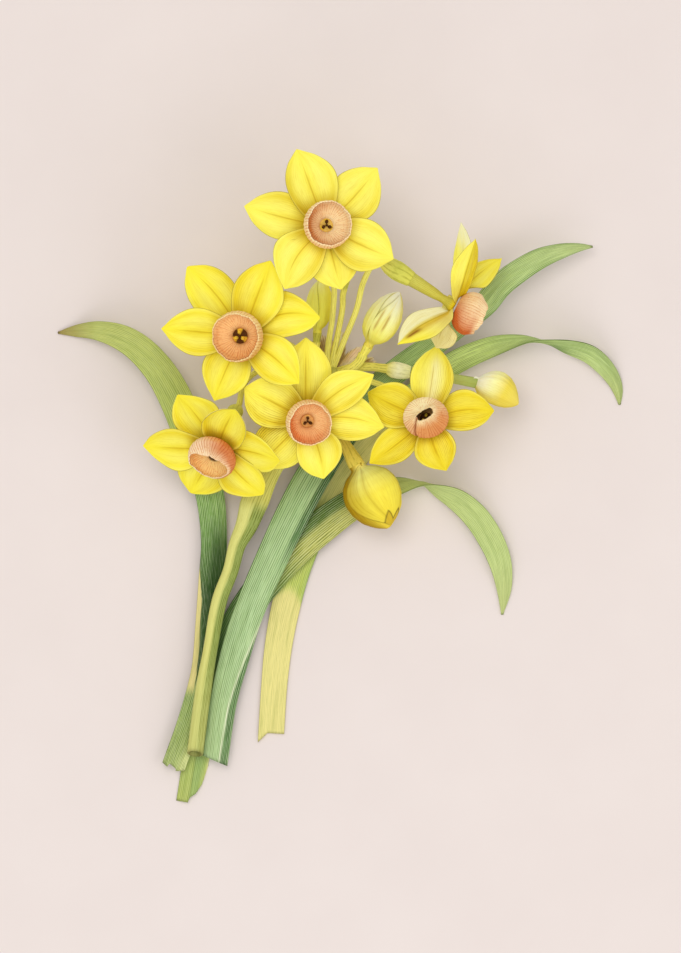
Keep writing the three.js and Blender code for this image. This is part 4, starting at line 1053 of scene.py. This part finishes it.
def add_stem(piece):
    """The flattened, two-edged stem, hollow at its cut end: down its outside, then back up its bore."""
    rows, sides = STEM_MESH
    places, ahead, stations = spline([s[:3] for s in STEM_ROUTE], rows)
    half = along_stations([s[3] for s in STEM_ROUTE], stations)
    back_to = int(round(rows - 1 - BORE_DEPTH / np.linalg.norm(places[-1] - places[-2])))
    order = np.r_[np.arange(rows), rows - 1, np.arange(rows - 1, back_to, -1)]
    shrink = np.where(np.arange(len(order)) < rows, 0, STEM_WALL)
    places, ahead, half = places[order], ahead[order], half[order] - shrink
    side = unit(np.cross([0, 0, 1], ahead))
    lift = np.cross(ahead, side)
    angle = full_turn(sides)
    edge = np.sign(np.cos(angle)) * np.abs(np.cos(angle)) ** 0.9
    groove = 1 + 0.025 * np.cos(12 * angle)
    rings = places[:, None] + side[:, None] * (half[:, None] * edge * groove)[..., None]
    tall = (STEM_HALF_HEIGHT - shrink)[:, None]
    rings = rings + lift[:, None] * (tall * np.sin(angle) * groove)[..., None]
    share = np.minimum(stations[order] / (len(STEM_ROUTE) - 1), 1)[:, None]
    slant = 0.8 * ramp(0.97, 1, share) * (1 + np.sin(angle))
    rings = rings - ahead[:, None] * slant[..., None]
    # Lower down, painted light: the left face yellow as a painted highlight, the stem's green kept darker on
    # the right as painted shade.
    below = ramp(0.4, 0.46, share)
    shaded_side = ramp(-0.15, 0.2, np.cos(angle)) * below
    tint = blend(STEM_UPPER, STEM_HIGHLIGHT, below)
    tint = blend(tint, STEM_SHADED_GREEN, 0.85 * shaded_side)
    tint = blend(tint, STEM_LOW, 0.7 * ramp(0.82, 0.98, share))
    # Painted shade inside the bore.
    tint = blend(tint, STEM_BORE_SHADE, 0.5 * (shrink > 0)[:, None])
    tint = blend(tint, STEM_BRIM, 0.8 * bell(np.arange(len(order)), rows, 1.2)[:, None])
    flow = flow_grid(share[:, 0] * 6, np.cos(angle) * 1.1, 3)
    piece.loft(rings, flow, lined(tint, 0.5 * (1 - below) + 0.95 * shaded_side + 0.12))


def add_stalk(piece, route, radius, ovary_base, axis, ovary, colours, number):
    """A thin stalk and the three-lobed ovary at its end."""
    length, ovary_radius, kind = ovary
    rows, sides = STALK_MESH
    places, ahead, _ = spline([*route, ovary_base - axis * 1.6, ovary_base + axis], rows)
    share = np.linspace(0, 1, rows)
    radii = radius * (1 + 0.1 * ramp(0.8, 1, share))
    rings, angle = tube_rings(places, ahead, radii, sides, ribs=5, depth=0.05)
    piece.tube(rings, share * 3, angle, number, gradient(enumerate(colours[:2]), share), strength=0.6)
    rows, sides = OVARY_MESH
    t = np.linspace(0, 1, rows)
    side = unit(np.cross(axis, [0.3, 0.2, 1]))
    profile = smoothed(np.interp(t, [0, 0.08, 0.25, 0.5, 0.75, 0.92, 1], OVARY_PROFILES[kind]))
    angle = full_turn(sides)
    around = ovary_radius * profile[:, None] * (1 + 0.05 * np.cos(3 * angle))
    height = (t * (length + SEAT_GAP) - SEAT_GAP)[:, None]
    rings = lathe_rings(ovary_base, axis, side, np.cross(axis, side), around, height, angle)
    tint = gradient(zip((0, 0.5, 1), colours[1:]), t)
    piece.tube(rings, t, angle, number, tint, strength=0.25 if kind == "taper" else 0.5)


GREEN_STALK = [(255, 248, 134), (254, 246, 124), (212, 212, 94), (216, 212, 92)]
STALK_COLOURS = {
    "small": [(255, 244, 124), (255, 248, 124), (255, 246, 116), (255, 246, 118)],
    "pale": [(234, 226, 110), (236, 228, 114), (255, 255, 216), (250, 252, 190)],
    "nodding": [(226, 204, 90), (226, 196, 80), (232, 204, 82), (240, 216, 94)],
}


stem = Piece()
add_stem(stem)
ellipsoid(
    stem, STEM_ROUTE[0][:3], (0.3, 0.9, 0.2), length=3, radius=2.8, tint=(196, 192, 98), number=1,
    rows=16, sides=20,
)
for number, bloom in enumerate(BLOOMS):
    out = unit(bloom.get("tube_axis", bloom["axis"]))
    ovary = bloom.get("ovary", (OVARY_LENGTH, OVARY_RADIUS, "taper"))
    behind = bloom.get("tube", TUBE_LENGTH) + SEAT_GAP + ovary[0]
    ovary_base = np.array(bloom["throat"]) - out * behind
    add_stalk(stem, bloom["stalk"], PEDICEL_RADIUS, ovary_base, out, ovary, GREEN_STALK, number)
for number, bud in enumerate(BUDS, FIRST_BUD_STALK):
    start, beyond = bud.get("tube_route", [bud["base"], bud["tip"]])[:2]
    axis = unit(bud.get("ovary_axis", np.subtract(beyond, start)))
    ovary_base = np.array(start) - axis * (bud["ovary"][0] + SEAT_GAP)
    colours = STALK_COLOURS.get(bud["name"], GREEN_STALK)
    add_stalk(stem, bud["stalk"], bud["stalk_radius"], ovary_base, axis, bud["ovary"], colours, number)
stem.build("flower_stem_fine", STALK_SKIN, "flower_stem", "stalk")


# Spathe

SPATHE_BASE = (-2.4, 27.5, 7.5)
PAPER_THICKNESS = 0.3
SPATHE_EDGE = [
    (12, 10.8), (15, 12.4), (17, 11.6), (20, 13.1), (22, 12.2), (25, 13), (28, 11.9), (33, 9.6), (39, 10),
    (43, 11.6), (46, 11.9), (50, 10.9), (55, 8.9), (60, 7.4), (65, 9.2), (69, 11.4), (73, 12.6), (78, 13),
    (82, 12.3), (87, 10.4), (92, 9.6), (97, 10.8), (102, 11.9), (107, 11.4), (112, 10.4), (118, 9.4),
    (125, 8.6),
]


def add_spathe(piece):
    """A dry papery sheath, open like a fan, creased lengthwise and torn along its edge."""
    u, share = (np.linspace(start, 1, count) for start, count in zip((0.12, 0), SPATHE_MESH))
    uu, ss = grid(u, share)
    turns, radii = (np.array(column) for column in zip(*SPATHE_EDGE))
    degrees = turns[0] + (turns[-1] - turns[0]) * ss
    frayed = 0.25 * np.sin(1.9 * degrees + 1) + 0.15 * np.sin(4.3 * degrees)
    edge = np.interp(degrees, turns, radii) + frayed
    reach = uu * (7 + (edge - 7) * ramp(0.1, 0.9, uu))
    angle = np.radians(degrees)
    x = SPATHE_BASE[0] + reach * np.cos(angle)
    y = SPATHE_BASE[1] + reach * np.sin(angle)
    z = SPATHE_BASE[2] + (1.2 * uu + 1.0 * (2 * ss - 1) ** 2) * uu
    z = z + 0.28 * uu * np.sin(30 * ss + 2 * uu) + 0.12 * uu * np.sin(71 * ss)
    upper = np.stack([x, y, z], -1)
    tint = blend((250, 224, 158), (255, 246, 204), 0.5 + 0.5 * np.sin(23 * ss + 3 * uu))
    for colour, where in (
            ((172, 136, 90), 0.8 * bell(np.sin(16 * ss + 0.8 * uu), 0.9, 0.4)),
            ((255, 252, 236), 0.95 * bell(degrees, 77, 6) * ramp(0.3, 0.7, uu)),
            ((255, 226, 200), 0.9 * bell(degrees, 46, 6) * ramp(0.4, 0.8, uu)),
            ((255, 244, 220), 0.8 * ramp(0.86, 1, uu)),
            ((150, 114, 74), 0.6 * ramp(0.6, 0.2, uu))):
        tint = blend(tint, colour, where)
    tint = lined(tint, 0.6)
    piece.blade(upper, upper - [0, 0, PAPER_THICKNESS], flow_grid(u, share * 2 - 1, 2), tint, tint)


spathe = Piece()
add_spathe(spathe)
spathe.build("spathe_fine", PAPER_SKIN, "spathe", "paper_sheath")


# Leaves: stations of place and half width, and roll in degrees where there is one

LEAVES = [dict(
    name="leaf_left", ridge=0.6, slot="leaf_dark",
    stations=[
        (-46.3, -80.4, 3.4, 3.3), (-41.8, -67.6, 3.5, 3.3), (-38.2, -53.8, 3.4, 3.2),
        (-36.7, -39.9, 3.2, 3.5), (-35.8, -28.8, 3, 3.6), (-35.1, -17.6, 3, 3.6), (-36.4, -4.3, 3.6, 4),
        (-39.9, 6, 4.6, 4.4), (-43.2, 15.7, 6, 4.7), (-46.3, 22.9, 7.2, 4.6), (-50.1, 29.3, 8, 4.3),
        (-55.4, 35.1, 8, 4), (-60.7, 38.5, 6.8, 3.6), (-67.4, 40.4, 4.5, 2.7), (-73.5, 40.4, 1.2, 1.7),
        (-78.5, 39.9, 0.4, 0.3),
    ],
    # Colour stops along the length; the dark green from 0.18 to 0.34 is painted shade.
    colours=[
        (0, (176, 190, 112)), (0.1, (164, 184, 104)), (0.15, (150, 172, 96)), (0.18, (56, 88, 34)),
        (0.34, (62, 96, 40)), (0.44, (122, 158, 86)), (0.52, (150, 184, 104)), (0.6, (188, 206, 116)),
        (0.92, (196, 202, 112)), (1, (166, 142, 76)),
    ],
    cut=[(-1, 0), (-0.5, 0.7), (-0.4, -0.4), (0.2, 0.3), (0.3, 1.0), (1, 0.2)],
), dict(
    name="leaf_front", ridge=0.8, slot="leaf",
    stations=[
        (-34.6, -77.9, 3.6, 3.5), (-32.4, -62.4, 3.9, 3.7), (-28.8, -48.2, 4.4, 4.2),
        (-25.4, -37.6, 5, 4.2), (-18.6, -21.8, 5.6, 4.5), (-11.3, -6.6, 5.4, 4.8), (-5.1, 4.2, 5.2, 4.8),
        (1.8, 13.9, 5.2, 4.4), (8.8, 23.2, 5.4, 3.7), (17.1, 30.4, 6, 3.5), (25.4, 36.3, 7, 3.4),
        (33.8, 42.9, 8, 3.4), (39.9, 47.6, 9, 3.4), (44.3, 52.9, 9.6, 3.4), (49.3, 56.8, 9.6, 3.3),
        (55.4, 60.4, 9, 2.9), (61.5, 62.5, 7.6, 2.1), (66.5, 63.5, 6, 1.1), (69.9, 63.7, 4.8, 0.3),
    ],
    # Colour stops along the length; the darker green about 0.62 is painted shade.
    colours=[
        (0, (180, 206, 146)), (0.2, (178, 206, 148)), (0.45, (168, 196, 136)), (0.62, (150, 178, 112)),
        (0.74, (172, 200, 124)), (0.88, (184, 206, 130)), (1, (196, 210, 136)),
    ],
    cut=[(-1, 0), (1, 2.0)],
), dict(
    name="leaf_pale", ridge=-0.4, slot="leaf_pale",
    stations=[
        (-19.3, -72.4, 0.35, 3.6), (-18.5, -59.3, 0.35, 3.6), (-17.4, -48.2, 0.35, 3.8),
        (-15.4, -37.1, 0.4, 4), (-12.4, -26, 0.8, 4), (-8.5, -16.3, 1.1, 4), (-4.3, -7.9, 1.1, 3.9),
        (1.3, 1.8, 1.2, 3.7), (8.2, 10.1, 1.4, 3.6), (19.3, 21.3, 2, 3.4), (27.6, 28.8, 3, 3.4),
        (33.8, 32.6, 4.2, 3.3, 5), (41.5, 35.7, 5.4, 3.1, 20), (47.6, 37.2, 6.2, 3, 50),
        (52.6, 37.8, 6.6, 2.9, 75), (57.9, 37.1, 6.4, 2.9, 100), (62.9, 35.8, 5.6, 2.9, 130),
        (68.8, 33.9, 4.2, 2.8, 155), (72.6, 31, 3, 2.6, 170), (75.7, 27.1, 1.2, 2.1, 180),
        (77.1, 23.5, 0.4, 1.4, 180), (77.5, 19.9, 0.4, 0.3, 180),
    ],
    colours=[
        (0, (236, 224, 142)), (0.3, (236, 224, 142)), (0.36, (206, 216, 118)), (0.4, (226, 220, 134)),
        (0.52, (236, 228, 148)), (0.58, (222, 244, 150)), (0.74, (222, 246, 150)), (0.8, (196, 220, 134)),
        (0.93, (200, 220, 138)), (1, (210, 218, 136)),
    ],
    cut=[(-1, 1.7), (-0.3, -1.1), (1, -1.1)],
), dict(
    name="leaf_low", ridge=0.6, slot="leaf",
    stations=[
        (-41.8, -89, 0.45, 3.6), (-39.6, -76, 0.45, 3.7), (-36.3, -62.1, 0.6, 3.9),
        (-32.1, -48.2, 1.4, 4.2), (-26.5, -37.1, 2, 4.4), (-19.6, -27.9, 2.8, 4.6),
        (-12.4, -20.1, 3.4, 4.7), (-5.1, -13.8, 3.6, 4.7), (2.1, -8.5, 3.4, 4.4), (9.6, -4.6, 3, 3.6, 8),
        (16.5, -2.4, 3.3, 3.1, 40), (22.6, -2.1, 3.7, 3, 85), (27.6, -4, 3.7, 3, 130),
        (32.4, -6.5, 3.6, 3.3, 160), (37.4, -11, 3.2, 3.6, 175), (41.5, -17.1, 2.6, 3.6, 180),
        (44.3, -23.8, 1.9, 3.2, 180), (45.4, -31, 0.6, 2.2, 180), (44.9, -38.4, 0.4, 0.3, 180),
    ],
    # Colour stops along the length; the dark green from 0.24 to 0.36 is painted shade between the stem and
    # the front leaf.
    colours=[
        (0, (186, 196, 106)), (0.12, (176, 198, 110)), (0.19, (150, 174, 90)), (0.24, (84, 120, 58)),
        (0.36, (100, 134, 70)), (0.42, (150, 164, 84)), (0.48, (192, 192, 104)), (0.58, (196, 196, 108)),
        (0.68, (204, 220, 140)), (0.9, (206, 222, 142)), (1, (206, 214, 138)),
    ],
    cut=[(-1, 1.6), (-0.1, 1.6), (0, 0.2), (0.4, -1.2), (0.75, -4), (1, -9.5)],
)]


def paint_leaf_left(uu, vv, tint):
    """A pale strip along the left margin of the length darkened with painted shade, and a cream patch at the
    cut end.
    """
    inner_edge = np.interp(uu, [0.14, 0.2, 0.32, 0.4], [-0.35, -0.55, -0.64, -1.1])
    strip = ramp(0.03, -0.03, vv - inner_edge) * ramp(0.13, 0.16, uu)
    tint = blend(tint, (234, 218, 146), 0.95 * strip)
    tint = blend(tint, (226, 228, 150), 0.7 * ramp(0.1, 0.6, vv) * ramp(0.06, 0.02, uu))
    # Painted shade: dark green over the middle of the length.
    dark = ramp(0.15, 0.2, uu) * ramp(0.5, 0.4, uu) * ramp(-0.6, 0.1, vv)
    tint = blend(tint, (34, 66, 22), 0.75 * dark * (1 - strip))
    return tint, (0.5 + 0.5 * ramp(0.62, 0.5, uu) - 0.6 * dark) * (1 - strip)


def paint_leaf_front(uu, vv, tint):
    """A light keel that leaves by the right edge, with painted shade on the side beyond it and on a band
    along the right, and darker toward both edges.
    """
    keel = np.interp(uu, [0, 0.08, 0.15, 0.22], [0.28, 0.43, 0.68, 1.05])
    # Painted shade on the side beyond the keel, where the folded leaf turns away.
    shaded_flank = ramp(0.04, 0.1, vv - keel) * ramp(0.24, 0.2, uu)
    tint = blend(tint, (92, 132, 74), 0.85 * shaded_flank * ramp(1.0, 0.4, vv - keel))
    tint = blend(tint, (242, 244, 208), bell(vv, keel, 0.05) * ramp(0.24, 0.2, uu))
    # Painted shade along the right side, in a band partway up.
    under = ramp(0.52, 0.6, vv) * ramp(0.28, 0.36, uu) * ramp(0.62, 0.54, uu)
    tint = blend(tint, (74, 112, 60), 0.85 * under)
    edge = ramp(0.55, 0.95, np.abs(vv)) * ramp(0.15, 0.3, uu)
    return blend(tint, (138, 170, 98), 0.5 * edge * (1 - under)), 0.75 + 0.4 * edge + 0.4 * shaded_flank


def paint_leaf_pale(uu, vv, tint):
    """Green only above a rounded line, and again past the flowers, with painted shade along one edge and just
    past the twist.
    """
    green = ramp(0.205, 0.225, uu - 0.018 * (1 - vv ** 2)) * ramp(0.38, 0.34, uu)
    tint = blend(tint, (202, 214, 108), green)
    # Painted shade along one edge, past the middle of the length.
    shade = ramp(0.2, 0.9, vv) * ramp(0.5, 0.6, uu)
    rim = ramp(0.75, 1, vv) * green
    tint = blend(tint, (150, 180, 96), 0.6 * rim)
    # Painted shade just past the twist, on one side.
    tint = blend(tint, (78, 128, 62), 0.6 * bell(uu, 0.845, 0.025) * ramp(0.9, -0.5, vv))
    return blend(tint, (140, 164, 90), 0.4 * shade), 0.22 + 0.3 * green + 0.6 * ramp(0.52, 0.6, uu)


def paint_leaf_low(uu, vv, tint):
    """Striped where it comes out from under the front leaf, with painted shade on one half there, and a keel
    at its cut end.
    """
    # Painted shade: one half dark green where it comes out from under the front leaf.
    shaded_half = ramp(0.3, 0.36, uu) * ramp(0.66, 0.58, uu)
    tint = blend(tint, (84, 118, 54), 0.9 * shaded_half * ramp(0.1, -0.4, vv))
    step = ramp(-0.06, 0.0, vv) * ramp(0.16, 0.1, uu)
    tint = blend(tint, (128, 166, 98), 0.55 * step * ramp(0.9, 0.3, vv))
    tint = blend(tint, (236, 230, 160), 0.8 * ramp(0.8, 0.95, vv) * ramp(0.1, 0.06, uu))
    keel = bell(vv, -0.05, 0.05) * ramp(0.16, 0.1, uu)
    return blend(tint, (116, 128, 60), 0.7 * keel), 0.45 + 0.5 * shaded_half


LEAF_PAINTS = [paint_leaf_left, paint_leaf_front, paint_leaf_pale, paint_leaf_low]


def add_leaf(piece, leaf, number):
    """A strap along its centreline, with a blunt ridge and fine lengthwise ribs."""
    stations = leaf["stations"]
    rows = LEAF_MESH[0]
    places, ahead, at = spline([s[:3] for s in stations], rows)
    half = np.maximum(along_stations([s[3] for s in stations], at), LEAF_EDGE)
    roll = np.radians(along_stations([(*s, 0)[4] for s in stations], at))[:, None]
    flat_side = unit(np.cross(ahead, [0, 0, 1]))
    flat_up = np.cross(flat_side, ahead)
    side = flat_side * np.cos(roll) + flat_up * np.sin(roll)
    up = np.cross(side, ahead)
    u, v = np.linspace(0, 1, rows), edged(LEAF_MESH[1])
    uu, vv = grid(u, v)
    ridge = leaf["ridge"] * (0.5 - np.abs(v)[None, :] ** 1.15) * np.minimum(half / 3, 1)[:, None]
    ribs = 0.035 * np.cos(2 * np.pi * 7 * v)[None, :] * np.minimum(half / 3, 1)[:, None]
    thick = LEAF_THICKNESS * (1 - 0.75 * v ** 4)[None, :] * np.minimum(half / 2, 1)[:, None]
    middle = places[:, None] + side[:, None] * (half[:, None] * v)[..., None]
    cut = np.interp(v, *zip(*leaf["cut"]))[None, :] * np.clip(1 - u / 0.12, 0, 1)[:, None] ** 2
    middle = middle - ahead[:, None] * cut[..., None]
    upper = middle + up[:, None] * (ridge + ribs + thick / 2)[..., None]
    lower = middle + up[:, None] * (ridge + ribs - thick / 2)[..., None]
    swap = upper[..., 2] < lower[..., 2]
    over = np.where(swap[..., None], lower, upper)
    under = np.where(swap[..., None], upper, lower)
    under[..., 2] = np.maximum(under[..., 2], FLOOR_GAP)
    over[..., 2] = np.maximum(over[..., 2], under[..., 2] + LEAF_EDGE)
    upper, lower = np.where(swap[..., None], under, over), np.where(swap[..., None], over, under)
    tint = gradient(leaf["colours"], uu)
    tint, strength = LEAF_PAINTS[number](uu, vv, tint)
    sides = lined(tint, strength), lined(tint * 0.9, strength)
    piece.blade(upper, lower, flow_grid(u * 6, v, number), *sides)


for number, leaf in enumerate(LEAVES):
    piece = Piece()
    add_leaf(piece, leaf, number)
    piece.build(leaf["name"] + "_fine", LEAF_SKIN, leaf["name"], leaf["slot"])


# Floor, light and camera

floor_mesh = bpy.data.meshes.new("floor")
corners = [(x * FLOOR_HALF, y * FLOOR_HALF, 0) for x, y in ((-1, -1), (1, -1), (1, 1), (-1, 1))]
floor_mesh.from_pydata(corners, [], [(0, 1, 2, 3)])
floor_skin = Shader("floor", roughness=0.9, specular=0.1)
floor_cloud = floor_skin.noise(floor_skin.node("TexCoord").outputs["Object"], scale=30.0)
floor_pale = floor_skin.mix(floor_cloud, linear((226, 214, 208)), linear((232, 221, 215)))
floor_mesh.materials.append(floor_skin.finish(floor_pale))
floor = placed("floor", floor_mesh)


def area_light(name, place, size, power, colour):
    """A square lamp that faces the middle of the bunch."""
    lamp = bpy.data.lights.new(name, "AREA")
    lamp.size, lamp.energy, lamp.color = size, power, colour
    placed(name, lamp, place).rotation_euler = (-Vector(place)).to_track_quat("-Z", "Y").to_euler()


area_light("key", (-0.22, 0.3, 1.2), size=0.7, power=5.1, colour=(1, 0.98, 0.95))
area_light("fill", (0.8, -0.3, 0.8), size=0.8, power=2.2, colour=(1, 1, 1))
area_light("front", (-0.1, -0.9, 0.6), size=0.7, power=2.1, colour=(1, 1, 1))

world = bpy.data.worlds.new("studio")
world.use_nodes = True
world.node_tree.nodes["Background"].inputs["Color"].default_value = (0.9, 0.9, 0.92, 1)
world.node_tree.nodes["Background"].inputs["Strength"].default_value = DAYLIGHT
bpy.context.scene.world = world
bpy.context.scene.view_settings.view_transform = "Standard"

lens = bpy.data.cameras.new("camera")
lens.lens = CAMERA_LENS
lens.sensor_width = SENSOR_WIDTH
lens.clip_end = VIEW_END
bpy.context.scene.camera = placed("camera", lens, (*CENTRE_SHIFT[:2] * MM, CAMERA_HEIGHT))
